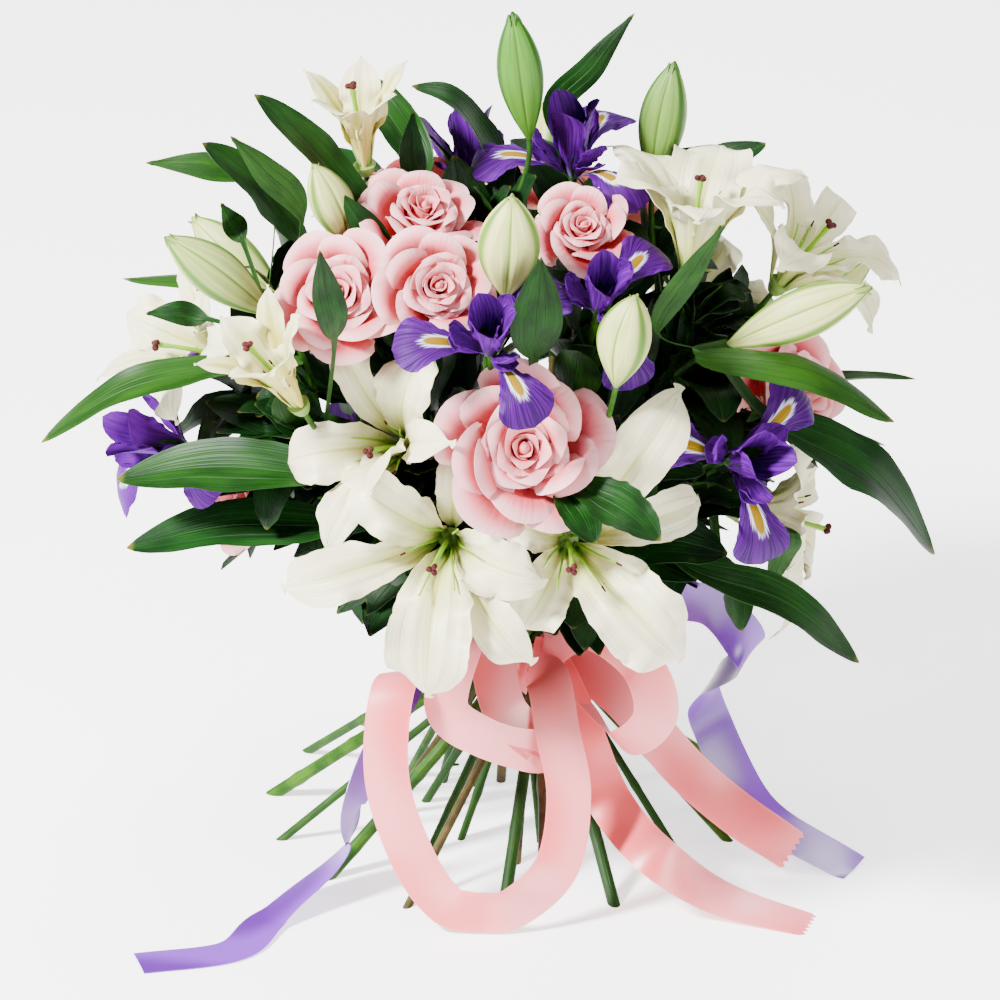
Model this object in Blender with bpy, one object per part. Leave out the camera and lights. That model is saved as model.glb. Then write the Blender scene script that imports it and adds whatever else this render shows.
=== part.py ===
"""A hand-tied bouquet of roses, lilies and irises that stands on its spiralled, level-cut stems.

Places are in millimetres from the middle of the tie, projected on the floor: +X to the right,
+Y to the back, +Z up. Every solid is written in metres, shifted so that the bouquet's middle is at 0.
"""

import math

import bmesh
import bpy
import numpy as np
from mathutils import Matrix, Vector
from mathutils.bvhtree import BVHTree

# Driving sizes, in millimetres
METRES = 0.001
MIDDLE = (-9.0, 3.5)  # the bouquet's middle on the floor, from the middle of the tie
CLEAR = 0.4  # air kept between pieces that belong to different solids
REST = 0.32  # air between stems that rest on each other in the tie
SEAT = 0.8  # air between a bloom and the end of its stem
PETAL = 0.8  # thickness of a petal
LEAF = 0.8
SATIN = 0.7  # thickness of the ribbon
RIBBON_WIDTH = 25.0
ROOT = 2.5  # how deep in a bloom's heart its petals start
TIE_HEIGHT = 108.0
TIE_HALF = 9.0
TIE_RADIUS = 31.6
TIE_SIDES = 16
PINCH = 0.34  # share of the ribbon's width where it is gathered at the tie
LILY_STEM, ROSE_STEM, IRIS_STEM = 3.3, 2.3, 2.2  # radii
PEDICEL = 1.7
OUTER_RING = 22.2  # radius of the outer ring of stems at the tie
INNER_LEAN, OUTER_LEAN = 31.0, 50.0  # how far the stems of the two rings lean there, in degrees
SPIRAL = 66.0  # degrees that a stem turns round the bundle from the tie to its bloom
INNER_STEMS = 8  # the stems that go most steeply up to their blooms
SIGHT = Vector((0.0, -0.891, 0.454))  # towards the eye, along which crowded pieces give way

# Colours: base colour and roughness
COLOURS = {
    "lily": ((0.93, 0.91, 0.84), 0.45),
    "rose": ((0.90, 0.60, 0.58), 0.50),
    "iris": ((0.17, 0.06, 0.42), 0.45),
    "stem": ((0.13, 0.30, 0.07), 0.50),
    "pink satin": ((0.93, 0.52, 0.50), 0.35),
    "lilac satin": ((0.42, 0.24, 0.72), 0.35),
}

# Blooms: middle of the face, the way it faces, and size
# A lily: face, facing, tepal length, opening (1 is wide), clock of the first tepal
LILIES = {
    "lily_front_left": ((-36, -150, 241), (-0.15, -0.93, 0.30), 118, 1.0, 0),
    "lily_front_right": ((38, -150, 241), (0.10, -0.92, 0.35), 118, 1.0, 0),
    "lily_centre_left": ((-66, -112, 287), (-0.45, -0.75, 0.48), 92, 0.95, 20),
    "lily_top_right": ((106, -38, 388), (0.12, 0.10, 0.98), 96, 0.62, 15),
    "lily_right": ((168, -12, 357), (0.55, -0.10, 0.83), 88, 0.85, 40),
    "lily_left": ((-172, -10, 296), (-0.85, -0.20, 0.48), 86, 0.85, 10),
    "lily_half_open_left": ((-124, -118, 330), (-0.42, -0.30, 0.85), 76, 0.36, 30),
    "lily_half_open_top": ((-80, -18, 432), (-0.10, -0.05, 0.99), 68, 0.40, 0),
    "lily_low_right": ((158, 18, 176), (0.93, -0.12, -0.05), 92, 0.90, 30),
    "lily_back": ((-20, 146, 285), (-0.10, 0.90, 0.42), 104, 0.95, 0),
    "lily_back_right": ((104, 112, 262), (0.62, 0.72, 0.30), 98, 0.90, 30),
}
# Tepals of the two front lilies: clock, length, reach of the tip as a share of wide open
POSED = {
    "lily_front_left": (
        (183, 122, 1.0), (252, 122, 1.0), (309, 92, 1.05),
        (15, 84, 0.9), (98, 92, 0.85), (143, 108, 0.95),
    ),
    "lily_front_right": (
        (142, 126, 1.0), (38, 138, 0.98), (211, 84, 1.1),
        (75, 104, 1.15), (289, 60, 1.15), (340, 62, 1.15),
    ),
}
# A rose: face, facing, radius
ROSES = {
    "rose_front": ((11, -158, 307), (0.03, -0.88, 0.47), 46),
    "rose_top_middle": ((-36, -118, 388), (0.15, -0.80, 0.58), 33),
    "rose_top_left": ((-94, -104, 378), (-0.20, -0.72, 0.66), 36),
    "rose_top": ((-44, -50, 405), (0.22, -0.22, 0.95), 35),
    "rose_small": ((44, -62, 398), (0.10, -0.60, 0.79), 27),
    "rose_right": ((168, -42, 290), (0.72, -0.46, 0.52), 40),
    "rose_left": ((-156, -8, 205), (-0.92, -0.22, 0.30), 32),
    "rose_back": ((46, 98, 350), (0.25, 0.62, 0.75), 40),
    "rose_back_left": ((-74, 92, 350), (-0.40, 0.60, 0.70), 38),
}
# An iris: face, facing, size, clock of the first fall
IRISES = {
    "iris_front": ((-8, -146, 372), (0.00, -0.58, 0.81), 60, 270),
    "iris_middle": ((54, -110, 380), (0.12, -0.55, 0.83), 57, 290),
    "iris_right": ((136, -122, 282), (0.45, -0.78, 0.43), 66, 180),
    "iris_top": ((38, 0, 420), (0.00, -0.12, 0.99), 63, 265),
    "iris_left": ((-198, -34, 250), (-0.80, -0.42, 0.42), 63, 215),
    "iris_back": ((-92, 128, 222), (-0.45, 0.85, 0.25), 60, 180),
    "iris_back_top": ((-18, 96, 366), (-0.10, 0.55, 0.83), 60, 90),
}

# Lily stems: where the stem forks, the blooms that it carries, and its buds
# A bud: root, tip, greatest width
LILY_STEMS = {
    "lily_stem_front_left": ((-34, -62, 205), ('lily_front_left', 'lily_centre_left'), (
    )),
    "lily_stem_front_right": ((34, -66, 212), ('lily_front_right',), (
        ((61, -138, 333), (72, -138, 392), 30),
    )),
    "lily_stem_right": ((84, -24, 262), ('lily_top_right', 'lily_right'), (
        ((120, -84, 332), (203, -92, 374), 28),
        ((82, 14, 382), (94, 16, 460), 26),
    )),
    "lily_stem_left": ((-92, -44, 240), ('lily_left', 'lily_half_open_left'), (
        ((-128, -82, 350), (-188, -90, 404), 27),
    )),
    "lily_stem_top": ((-20, -22, 320), ('lily_half_open_top',), (
        ((14, -16, 424), (4, -14, 505), 25),
        ((0, -106, 372), (4, -112, 440), 34),
        ((-86, -56, 380), (-106, -56, 432), 24),
    )),
    "lily_stem_low_right": ((72, 38, 190), ('lily_low_right', 'lily_back_right'), (
        ((152, 68, 272), (208, 92, 304), 24),
    )),
    "lily_stem_back": ((-22, 76, 205), ('lily_back',), (
        ((-122, 66, 284), (-176, 96, 324), 25),
        ((24, 138, 318), (30, 178, 366), 25),
    )),
}

# Leaves: stem, root of the blade, tip, width, and how far its middle is lifted
LEAVES = (
    ("lily_stem_left", (-136, -66, 312), (-258, -62, 262), 23, 16),
    ("lily_stem_front_left", (-88, -104, 262), (-216, -72, 244), 30, 12),
    ("lily_stem_front_left", (-84, -96, 231), (-211, -54, 192), 27, 10),
    ("lily_stem_left", (-130, -4, 394), (-200, 6, 402), 15, 5),
    ("lily_stem_top", (-112, -34, 374), (-168, -30, 432), 28, 6),
    ("lily_stem_left", (-112, -64, 402), (-152, -70, 456), 15, 6),
    ("lily_stem_top", (-76, -40, 390), (-139, -30, 462), 26, 8),
    ("lily_stem_top", (-52, -16, 396), (-51, -6, 440), 13, 4),
    ("lily_stem_top", (6, 2, 378), (-52, 14, 446), 34, 22),
    ("lily_stem_right", (26, 20, 414), (72, 28, 484), 15, 5),
    ("lily_stem_right", (72, -24, 412), (150, -30, 410), 13, 10),
    ("lily_stem_right", (84, -104, 352), (122, -110, 422), 13, 6),
    ("lily_stem_right", (106, -110, 340), (216, -96, 292), 22, 16),
    ("lily_stem_right", (146, -84, 288), (240, -50, 186), 40, 14),
    ("lily_stem_front_right", (56, -136, 286), (76, -146, 252), 30, 8),
    ("lily_stem_right", (94, -96, 208), (198, -66, 126), 23, 14),
    ("lily_stem_low_right", (156, -60, 208), (146, -62, 166), 13, 4),
    ("lily_stem_left", (-94, -140, 366), (-102, -156, 428), 16, 5),
    ("lily_stem_left", (-166, -16, 316), (-200, -14, 318), 12, 3),
    ("lily_stem_left", (-146, -8, 360), (-158, -8, 384), 12, 3),
    ("lily_stem_top", (-64, -66, 372), (-92, -62, 418), 16, 5),
    ("lily_stem_front_left", (-44, -118, 326), (-44, -124, 364), 18, 5),
    ("lily_stem_low_right", (104, 60, 196), (214, 84, 186), 30, 14),
    ("lily_stem_low_right", (122, 44, 226), (230, 40, 250), 26, 12),
    ("lily_stem_low_right", (74, 104, 178), (130, 182, 138), 28, 12),
    ("lily_stem_low_right", (66, 98, 300), (132, 160, 326), 26, 12),
    ("lily_stem_back", (18, 118, 222), (62, 196, 214), 28, 12),
    ("lily_stem_back", (-52, 118, 206), (-70, 204, 160), 30, 14),
    ("lily_stem_back", (-84, 62, 210), (-190, 96, 190), 28, 14),
    ("lily_stem_back", (-96, 52, 282), (-214, 66, 300), 26, 12),
    ("lily_stem_back", (-64, 130, 290), (-98, 200, 316), 27, 12),
    ("lily_stem_back", (8, 126, 304), (36, 196, 332), 25, 12),
    ("lily_stem_top", (-46, 34, 380), (-86, 88, 418), 24, 10),
    ("lily_stem_right", (92, 46, 350), (146, 96, 370), 22, 10),
    ("rose_front_stem", (16, -108, 338), (20, -112, 402), 26, 6),
    ("rose_right_stem", (118, -76, 200), (132, -94, 160), 23, 4),
    ("rose_back_stem", (64, 92, 296), (120, 140, 300), 24, 6),
    ("rose_left_stem", (-118, 12, 186), (-170, 34, 158), 22, 6),
)

# Ribbons: colour, where they leave the tie (degrees round it and height), and the points that they
# pass through with the way that their width lies there
RIBBONS = {
    "ribbon_loop_left": ("pink satin", (-130, 103), (
        ((-44, -58, 120), (0.6, -0.5, 0.6)),
        ((-62, -98, 128), (1, 0, 0.1)),
        ((-66, -126, 86), (1, 0, 0)),
        ((-52, -142, 44), (0.96, 0, 0.25)),
        ((-34, -150, 18), (0.75, 0, 0.66)),
        ((-17.7, -153, 13.5), (0, 0, 1)),
    )),
    "ribbon_loop_right": ("pink satin", (-78, 104), (
        ((24, -72, 118), (1, 0, 0)),
        ((32, -98, 98), (1, 0, 0)),
        ((36, -120, 70), (1, 0, 0)),
        ((28, -138, 36), (0.92, 0, -0.38)),
        ((4, -150, 17), (0.6, 0, -0.8)),
        ((-16.3, -153, 13.5), (0, 0, -1)),
    )),
    "ribbon_bow_left": ("pink satin", (-116, 113), (
        ((-30, -76, 152), (0.7, -0.3, 0.6)),
        ((-34, -98, 122), (1, 0, 0.2)),
        ((-16, -108, 90), (0.8, 0, 0.6)),
        ((6, -104, 88), (0.7, 0, -0.7)),
        ((8, -90, 112), (1, 0, -0.3)),
        ((-8, -66, 132), (0.9, 0, 0.2)),
    )),
    "ribbon_bow_right": ("pink satin", (-62, 113), (
        ((46, -70, 150), (0.5, -0.3, 0.8)),
        ((76, -92, 138), (0.8, 0, 0.6)),
        ((84, -96, 108), (1, 0, 0.1)),
        ((64, -92, 88), (0.6, 0, -0.8)),
        ((44, -72, 104), (0.7, 0.3, -0.6)),
    )),
    "ribbon_tail_front": ("pink satin", (-52, 104), (
        ((46, -74, 96), (0.9, 0, 0.3)),
        ((64, -96, 66), (0.9, 0.1, 0.4)),
        ((92, -118, 34), (0.6, 0.5, 0.5)),
        ((128, -130, 10), (0.45, 0.8, 0.25)),
        ((168, -142, 1), (0.2, 0.98, 0)),
    )),
    "ribbon_tail_back": ("pink satin", (-36, 104), (
        ((66, -50, 96), (0.7, 0.4, 0.5)),
        ((100, -62, 58), (0.5, 0.4, 0.8)),
        ((130, -72, 34), (0.2, 0.5, 0.9)),
        ((160, -84, 17), (0.05, 0.1, 1)),
    )),
    "ribbon_lilac_left": ("lilac satin", (-154, 108), (
        ((-52, -66, 104), (0.1, 0.4, 0.9)),
        ((-66, -92, 60), (0.4, 0.5, 0.7)),
        ((-86, -110, 24), (0.7, 0.6, 0.4)),
        ((-122, -142, 3), (0.55, -0.8, 0.1)),
        ((-164, -172, 1), (0.5, -0.86, 0)),
        ((-204, -188, 1), (0.25, -0.97, 0)),
    )),
    "ribbon_lilac_right": ("lilac satin", (-18, 113), (
        ((66, -44, 150), (0.3, -0.3, 0.9)),
        ((112, -66, 162), (0.3, -0.4, 0.9)),
        ((136, -72, 136), (0.5, -0.5, 0.7)),
        ((114, -52, 106), (0.6, -0.1, 0.8)),
        ((116, -34, 72), (0.9, 0.1, 0.3)),
        ((142, -50, 26), (0.7, 0.6, 0.3)),
        ((196, -76, 1), (0.3, 0.95, 0)),
    )),
}

# Outlines of the blades: grid rows and columns, width at the root as a share of the widest,
# power of the swell and of the taper, how round the top edge is, the cup in degrees at the root
# and beyond the middle, the skew that laps each petal over the next, and the ruffle of the edge
OUTLINES = {
    "tepal": {
        "rows": 4, "columns": 2, "root": 0.06, "swell": 1.4, "taper": 0.62, "top": 0.0, "cup": (36, 18),
        "skew": 0, "ruffle": 0.05,
    },
    "rose petal": {
        "rows": 3, "columns": 2, "root": 0.08, "swell": 0.75, "taper": 0.0, "top": 0.2, "cup": (38, 32),
        "skew": 20, "ruffle": 0.0,
    },
    "fall": {
        "rows": 3, "columns": 2, "root": 0.08, "swell": 2.3, "taper": 0.3, "top": 0.0, "cup": (30, -16),
        "skew": 0, "ruffle": 0.04,
    },
    "standard": {
        "rows": 3, "columns": 2, "root": 0.12, "swell": 1.4, "taper": 0.35, "top": 0.0, "cup": (40, 34),
        "skew": 8, "ruffle": 0.05,
    },
    "leaf": {
        "rows": 4, "columns": 2, "root": 0.04, "swell": 0.7, "taper": 0.72, "top": 0.0, "cup": (24, 22),
        "skew": 0, "ruffle": 0.03,
    },
}

# Petals: outline, lean from the bloom's axis at even steps in degrees, then length, width and
# distance of the root from the axis, as shares of the bloom's size
PETALS = {
    "inner tepal": ("tepal", (13, 22, 56, 90, 110), 1.0, 0.37, 0.032),
    "outer tepal": ("tepal", (27, 30, 66, 96, 116), 1.0, 0.28, 0.045),
    "inner petal": ("rose petal", (46, 42, 6, 18), 0.98, 0.95, 0.13),
    "outer petal": ("rose petal", (69, 66, 38, 80), 1.10, 1.50, 0.158),
    "fall": ("fall", (50, 60, 98, 148), 1.0, 0.52, 0.047),
    "standard": ("standard", (22, 4, 10, 32), 0.83, 0.32, 0.043),
}
LONG_LEAF = 95.0  # a leaf longer than this gets one more row of faces
LONG_TEPAL = 90.0  # and a tepal that is shorter than this has one row less
FULL_ROSE = 42.0  # a rose of a larger radius has inner petals too
HALF_OPEN = 0.72  # share of their width that the tepals of a half-open lily show


# Small geometry

def unit(vector):
    vector = np.asarray(vector, float)
    return vector / np.linalg.norm(vector)


def bloom_frame(facing):
    """The way a bloom faces, the way up across it, and the way right as its viewer sees it."""
    axis = unit(facing)
    up = np.array((0.0, 0.0, 1.0)) - axis[2] * axis
    if np.linalg.norm(up) < 0.15:
        up = np.array((0.0, 1.0, 0.0)) - axis[1] * axis
    up = unit(up)
    return axis, up, np.cross(up, axis)


def bezier(a, b, c, d, t):
    t = np.asarray(t)[:, None]
    s = 1 - t
    return s**3 * a + 3 * s**2 * t * b + 3 * s * t**2 * c + t**3 * d


def smooth(points, steps):
    """A smooth curve through points, with the given number of steps between each two."""
    p = np.asarray(points, float)
    p = np.vstack((2 * p[0] - p[1], p, 2 * p[-1] - p[-2]))
    t = np.linspace(0, 1, steps, endpoint=False)[:, None]
    runs = [
        0.5 * (2 * b + (c - a) * t + (2 * a - 5 * b + 4 * c - d) * t**2 + (3 * b - a - 3 * c + d) * t**3)
        for a, b, c, d in zip(p, p[1:], p[2:], p[3:])
    ]
    return np.vstack(runs + [p[-2:-1]])


def half_width(outline, u):
    """Half the width of a blade at a place along it, as a share of the widest."""
    form = OUTLINES[outline]
    swell, taper, root = form["swell"], form["taper"], form["root"]
    widest = min(max((swell - taper * root / (1 - root)) / (swell + taper), 0.0), 1.0)
    full, here = ((root + (1 - root) * t) ** swell * max(1 - t, 0.0) ** taper for t in (widest, u))
    return here / full


def blade(outline, spine, ahead, inner, width, rows=None, columns=None, phase=0.0, stalk=0.0):
    """Grid points of a blade about its spine, which is sampled evenly from root to tip."""
    form = OUTLINES[outline]
    rows, columns = rows or form["rows"], columns or form["columns"]
    even = np.linspace(0, 1, len(spine))
    side_of = np.cross(ahead, inner)
    foot = max(1, rows // 4) if stalk else 0
    stations = [*np.linspace(0, stalk, foot, endpoint=False), *np.linspace(stalk, 1, rows - foot + 1)]
    grid = np.zeros((rows + 1, columns + 1, 3))
    for i, station in enumerate(stations):
        for j in range(columns + 1):
            v = 2 * j / columns - 1
            u = station * (1 - form["top"] * v * v)
            middle, side, rise = (np.array([np.interp(u, even, part[:, k]) for k in range(3)])
                                  for part in (spine, side_of, inner))
            t = max(0.0, u - stalk) / (1 - stalk)
            half = width / 2 * half_width(outline, t)
            cup = math.radians(np.interp(t, (0, 0.5), form["cup"]))
            across = half * math.sin(cup * v) / cup
            lift = half * (1 - math.cos(cup * v)) / cup + half * v * math.sin(math.radians(form["skew"]))
            lift += 2 * half * form["ruffle"] * v * abs(v) * math.sin(5 * math.pi * t + phase)
            grid[i, j] = middle + side * across + rise * lift
    return grid


def swirl(flower, radius, turns=1.75, rows=None, columns=None):
    """The petals wound round a rose's heart, as one sheet that winds outwards and leans open."""
    base, axis, up, right = flower
    rows, columns = rows or 10, columns or 1
    grid = np.zeros((rows + 1, columns + 1, 3))
    for i in range(rows + 1):
        wound = i / rows
        turn = 2 * math.pi * turns * wound
        out = math.cos(turn) * up + math.sin(turn) * right
        for j in range(columns + 1):
            height = j / columns
            away = radius * (0.05 + 0.15 * wound + height * (0.06 + 0.20 * wound))
            grid[i, j] = base + out * away + axis * radius * (0.18 + height * (0.78 - 0.10 * wound))
    return grid


def arched(outline, flower, clock, length, bends, width, rows=None, columns=None, foot=2.5, sway=0.0):
    """A petal rooted on a flower's axis, whose lean from the axis runs through the bends in degrees."""
    base, axis, up, right = flower
    turn = math.radians(clock)
    out = math.cos(turn) * up + math.sin(turn) * right
    side = np.cross(axis, out)
    lean = np.radians(np.interp(np.linspace(0, 1, 33), np.linspace(0, 1, len(bends)), bends))
    middle = (lean[1:] + lean[:-1]) / 2
    step = length / 32
    away = foot + np.concatenate(([0], np.cumsum(np.sin(middle) * step)))
    along = np.concatenate(([0], np.cumsum(np.cos(middle) * step)))
    drift = sway * length * np.linspace(0, 1, 33) ** 2
    spine = base + away[:, None] * out + (ROOT + along)[:, None] * axis + drift[:, None] * side
    ahead = np.sin(lean)[:, None] * out + np.cos(lean)[:, None] * axis
    inner = np.cos(lean)[:, None] * -out + np.sin(lean)[:, None] * axis
    return blade(outline, spine, ahead, inner, width, rows, columns, phase=math.radians(3 * clock))


def leaf(root, start, tip, width, lift, rows=None, columns=None):
    """A leaf whose narrow foot runs from its stem to the start of the blade, then arches to the tip."""
    face = unit(unit((start + tip) / 2 - np.array((0, 0, 200.0))) + np.array((0, 0, 0.9)))
    middle = (start + tip) / 2 + face * lift
    spine = smooth((root, start, middle, tip), 8)
    reach = np.concatenate(([0], np.cumsum(np.linalg.norm(np.diff(spine, axis=0), axis=1))))
    even = np.linspace(0, reach[-1], 33)
    stalk = reach[8] / reach[-1]
    spine = np.stack([np.interp(even, reach, spine[:, k]) for k in range(3)], axis=1)
    ahead = np.gradient(spine, axis=0)
    ahead /= np.linalg.norm(ahead, axis=1)[:, None]
    inner = face - (ahead @ face)[:, None] * ahead
    inner /= np.linalg.norm(inner, axis=1)[:, None]
    return blade("leaf", spine, ahead, inner, width, rows, columns, phase=float(tip[0]), stalk=stalk)


def strip(points, steps=2, columns=1):
    """Grid points of a ribbon through points, each with the way that its width lies there."""
    spine = smooth([p for p, _ in points], steps)
    lie = smooth([unit(w) for _, w in points], steps)
    ahead = np.gradient(spine, axis=0)
    ahead /= np.linalg.norm(ahead, axis=1)[:, None]
    lie -= (lie * ahead).sum(axis=1)[:, None] * ahead
    lie /= np.linalg.norm(lie, axis=1)[:, None]
    spread = np.clip(np.linspace(0, len(points) - 1, len(spine)) / 1.6, 0, 1)
    half = RIBBON_WIDTH / 2 * (PINCH + (1 - PINCH) * spread * spread * (3 - 2 * spread))
    across = np.linspace(-1, 1, columns + 1)
    return spine[:, None] + (half[:, None] * across)[:, :, None] * lie[:, None]


# Closed solids, as bmeshes in millimetres

def outward(bm):
    """Turns every face of a closed solid outwards."""
    bm.normal_update()
    bmesh.ops.recalc_face_normals(bm, faces=bm.faces)
    if bm.calc_volume(signed=True) < 0:
        bmesh.ops.reverse_faces(bm, faces=bm.faces)
    return bm


def sheet(points, thickness, clear=0.0):
    """A closed thin solid about a grid of points, split into triangles alike on both faces."""
    rows, columns = points.shape[0] - 1, points.shape[1] - 1
    bm = bmesh.new()
    bmesh.ops.create_grid(bm, x_segments=columns, y_segments=rows, size=0.5)
    for vert in bm.verts:
        i, j = round((vert.co.y + 0.5) * rows), round((vert.co.x + 0.5) * columns)
        vert.co = points[i, j]
    bmesh.ops.remove_doubles(bm, verts=bm.verts, dist=0.05)
    bmesh.ops.triangulate(bm, faces=bm.faces)
    bm.normal_update()
    for vert in bm.verts:
        vert.co += vert.normal * (thickness / 2 + clear)
    bmesh.ops.solidify(bm, geom=bm.faces[:], thickness=thickness + 2 * clear)
    return outward(bm)


def egg(base, axis, length, width, belly=0.5, lobes=0.0, sides=6, rings=5):
    """A closed egg from its base along an axis, widest at the belly, round or with three lobes."""
    bm = bmesh.new()
    bmesh.ops.create_uvsphere(bm, u_segments=sides, v_segments=rings, radius=1.0)
    axis, up, right = bloom_frame(axis)
    power = math.log(0.5) / math.log(belly)
    for vert in bm.verts:
        t = min(max((vert.co.z + 1) / 2, 0.0), 1.0)
        turn = math.atan2(vert.co.y, vert.co.x)
        away = math.cos(turn) * up + math.sin(turn) * right
        radius = width / 2 * abs(math.sin(math.pi * t**power)) ** 0.75 * (1 + lobes * math.cos(3 * turn))
        vert.co = np.asarray(base) + axis * length * t + radius * away
    return outward(bm)


def cone(base, axis, length, low, high, sides=6, clock=0.0):
    """A closed blunt cone along an axis, with the middle of a face at a clock angle in degrees."""
    bm = bmesh.new()
    bmesh.ops.create_cone(bm, cap_ends=True, segments=sides, radius1=low, radius2=high, depth=length)
    axis, up, right = bloom_frame(axis)
    turn = Matrix.Rotation(math.radians(180 / sides - clock), 3, "Z")
    turn = Matrix((right, up, axis)).transposed() @ turn
    middle = Vector(np.asarray(base) + axis * length / 2)
    bmesh.ops.transform(bm, matrix=Matrix.Translation(middle) @ turn.to_4x4(), verts=bm.verts)
    return bm


def tube(path, radius, clear=0.0, resolution=1):
    """A closed round rod along a path, made as a bevelled curve and then a mesh."""
    data = bpy.data.curves.new("rod", "CURVE")
    data.dimensions = "3D"
    data.bevel_depth = radius + clear
    data.bevel_resolution = resolution
    data.use_fill_caps = True
    spline = data.splines.new("POLY")
    spline.points.add(len(path) - 1)
    for point, place in zip(spline.points, path):
        point.co = (*place, 1)
    rod = bpy.data.objects.new("rod", data)
    bpy.context.scene.collection.objects.link(rod)
    mesh = bpy.data.meshes.new_from_object(rod.evaluated_get(bpy.context.evaluated_depsgraph_get()))
    bm = bmesh.new()
    bm.from_mesh(mesh)
    bmesh.ops.remove_doubles(bm, verts=bm.verts, dist=0.01)
    outward(bm)
    bpy.data.objects.remove(rod)
    bpy.data.curves.remove(data)
    bpy.data.meshes.remove(mesh)
    return bm


def cut_level(bm):
    """Cuts a stem's foot off level with the floor."""
    geom = bm.verts[:] + bm.edges[:] + bm.faces[:]
    bmesh.ops.bisect_plane(bm, geom=geom, plane_co=(0, 0, 0), plane_no=(0, 0, -1), clear_outer=True)
    bmesh.ops.holes_fill(bm, edges=bm.edges, sides=0)
    return outward(bm)


class Room:
    """What is placed so far, by node, so that the next piece can be bent clear of it."""

    def __init__(self):
        self.nodes, self.trees, self.low, self.high = [], [], [], []

    def add(self, node, bm):
        corners = np.array([v.co for v in bm.verts])
        self.nodes.append(node)
        self.trees.append(BVHTree.FromBMesh(bm))
        self.low.append(corners.min(axis=0))
        self.high.append(corners.max(axis=0))

    def is_free(self, nodes, bm):
        """Whether a solid of one of the nodes touches nothing of the others."""
        corners = np.array([v.co for v in bm.verts])
        if corners[:, 2].min() < 0 and "stem" not in nodes[0]:
            return False
        if not self.nodes:
            return True
        near = np.all(np.array(self.low) < corners.max(axis=0), axis=1)
        near &= np.all(np.array(self.high) > corners.min(axis=0), axis=1)
        tree = BVHTree.FromBMesh(bm)
        return not any(
            self.nodes[i] not in nodes and tree.overlap(self.trees[i]) for i in np.flatnonzero(near)
        )


# Layout: where every piece goes, each bent clear of what is placed before it

def easing(spreads, turns, cuts):
    """How a petal may give way: opened by a share, turned in degrees and cut short, mildest first."""
    ways = [(s, t, c) for s in spreads for t in turns for c in cuts]
    return sorted(ways, key=lambda way: abs(1 - way[0]) + abs(way[1]) / 45 + (1 - way[2]) * 2.2)


PETAL_WAYS = easing(
    (1, 0.9, 1.1, 0.8, 0.68, 0.55, 0.42, 0.3, 1.25), (0, 7, -7, 14, -14, 22, -22), (1, 0.9, 0.8, 0.7))
LEAF_WAYS = easing(
    (1, 1.6, 0.3, -0.6), (0, 8, -8, 17, -17, 27, -27, 38, -38, 50, -50), (1, 0.88, 0.76, 0.64))
DRIFTS = np.random.default_rng(5).normal(size=(400, 10, 3)) * np.linspace(0, 20, 400)[:, None, None]
NUDGES = np.random.default_rng(3).normal(size=(260, 2, 3)) * np.linspace(0, 30, 260)[:, None, None]


class Bouquet:
    """Every node's solids, as functions that make them, in the room that they share."""

    def __init__(self):
        self.room = Room()
        self.solids = {}
        self.blades = []
        self.paths = {}
        self.left_out = []
        self.rng = np.random.default_rng(7)
        self.flowers = {}

    def put(self, node, bm):
        """Adds a solid that stays where it is."""
        if not self.room.is_free((node,), bm):
            self.left_out.append((node, "crossed"))
        self.room.add(node, bm)
        self.solids.setdefault(node, []).append(bm)

    def reserve(self, node, bm):
        """Keeps other nodes out of a bloom's heart."""
        self.room.add(node, bm)

    def fit_blade(self, node, make, ways, thickness, tag):
        """Adds the first way of a blade that is clear of every other node."""
        for way in ways:
            trial = sheet(make(way), thickness, CLEAR)
            free = self.room.is_free((node,), trial)
            trial.free()
            if free:
                self.blades.append((node, tag, lambda rows, columns, w=way: make(w, rows, columns)))
                solid = sheet(make(way), thickness)
                self.room.add(node, solid)
                self.solids.setdefault(node, []).append(solid)
                return True
        self.left_out.append((node, tag))
        return False

    def fit_tube(self, node, make, radius, level=False):
        """Adds the first way of a stem that is clear of every other node."""
        for nudge in NUDGES:
            path = make(nudge)
            trial = tube(path, radius, REST - 0.02, int(level))
            free = self.room.is_free((node,), trial)
            trial.free()
            if free:
                break
        else:
            self.left_out.append((node, "stem"))
            path = make(NUDGES[0])
        solid = tube(path, radius, 0.0, int(level))
        if level:
            cut_level(solid)
        self.room.add(node, solid)
        self.solids.setdefault(node, []).append(solid)
        self.paths.setdefault(node, []).append(path)


def ring_slots(stems):
    """Places stems round the tie, as radius and azimuth, in the order in which their blooms lie."""
    order = sorted(stems, key=lambda name: stems[name][0])
    thick = np.array([stems[name][1] + CLEAR for name in order])
    share = (np.cumsum(thick) - thick / 2) / thick.sum() * 2 * math.pi
    azimuths = np.array([stems[name][0] for name in order])
    offsets = np.linspace(0, 2 * math.pi, 90, endpoint=False)
    ahead = share + math.radians(SPIRAL) - azimuths
    misfit = [(np.angle(np.exp(1j * (ahead + offset))) ** 2).sum() for offset in offsets]
    share = share + offsets[int(np.argmin(misfit))]
    return {name: (OUTER_RING + LILY_STEM - stems[name][1], a) for name, a in zip(order, share)}


def at_tie(slot, lean):
    """Where a stem crosses the tie's middle, and the way that it runs there."""
    radius, turn = slot
    lean = math.radians(lean)
    slope = np.array((-math.sin(turn) * math.sin(lean), math.cos(turn) * math.sin(lean), math.cos(lean)))
    return np.array((radius * math.cos(turn), radius * math.sin(turn), TIE_HEIGHT)), slope


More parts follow.
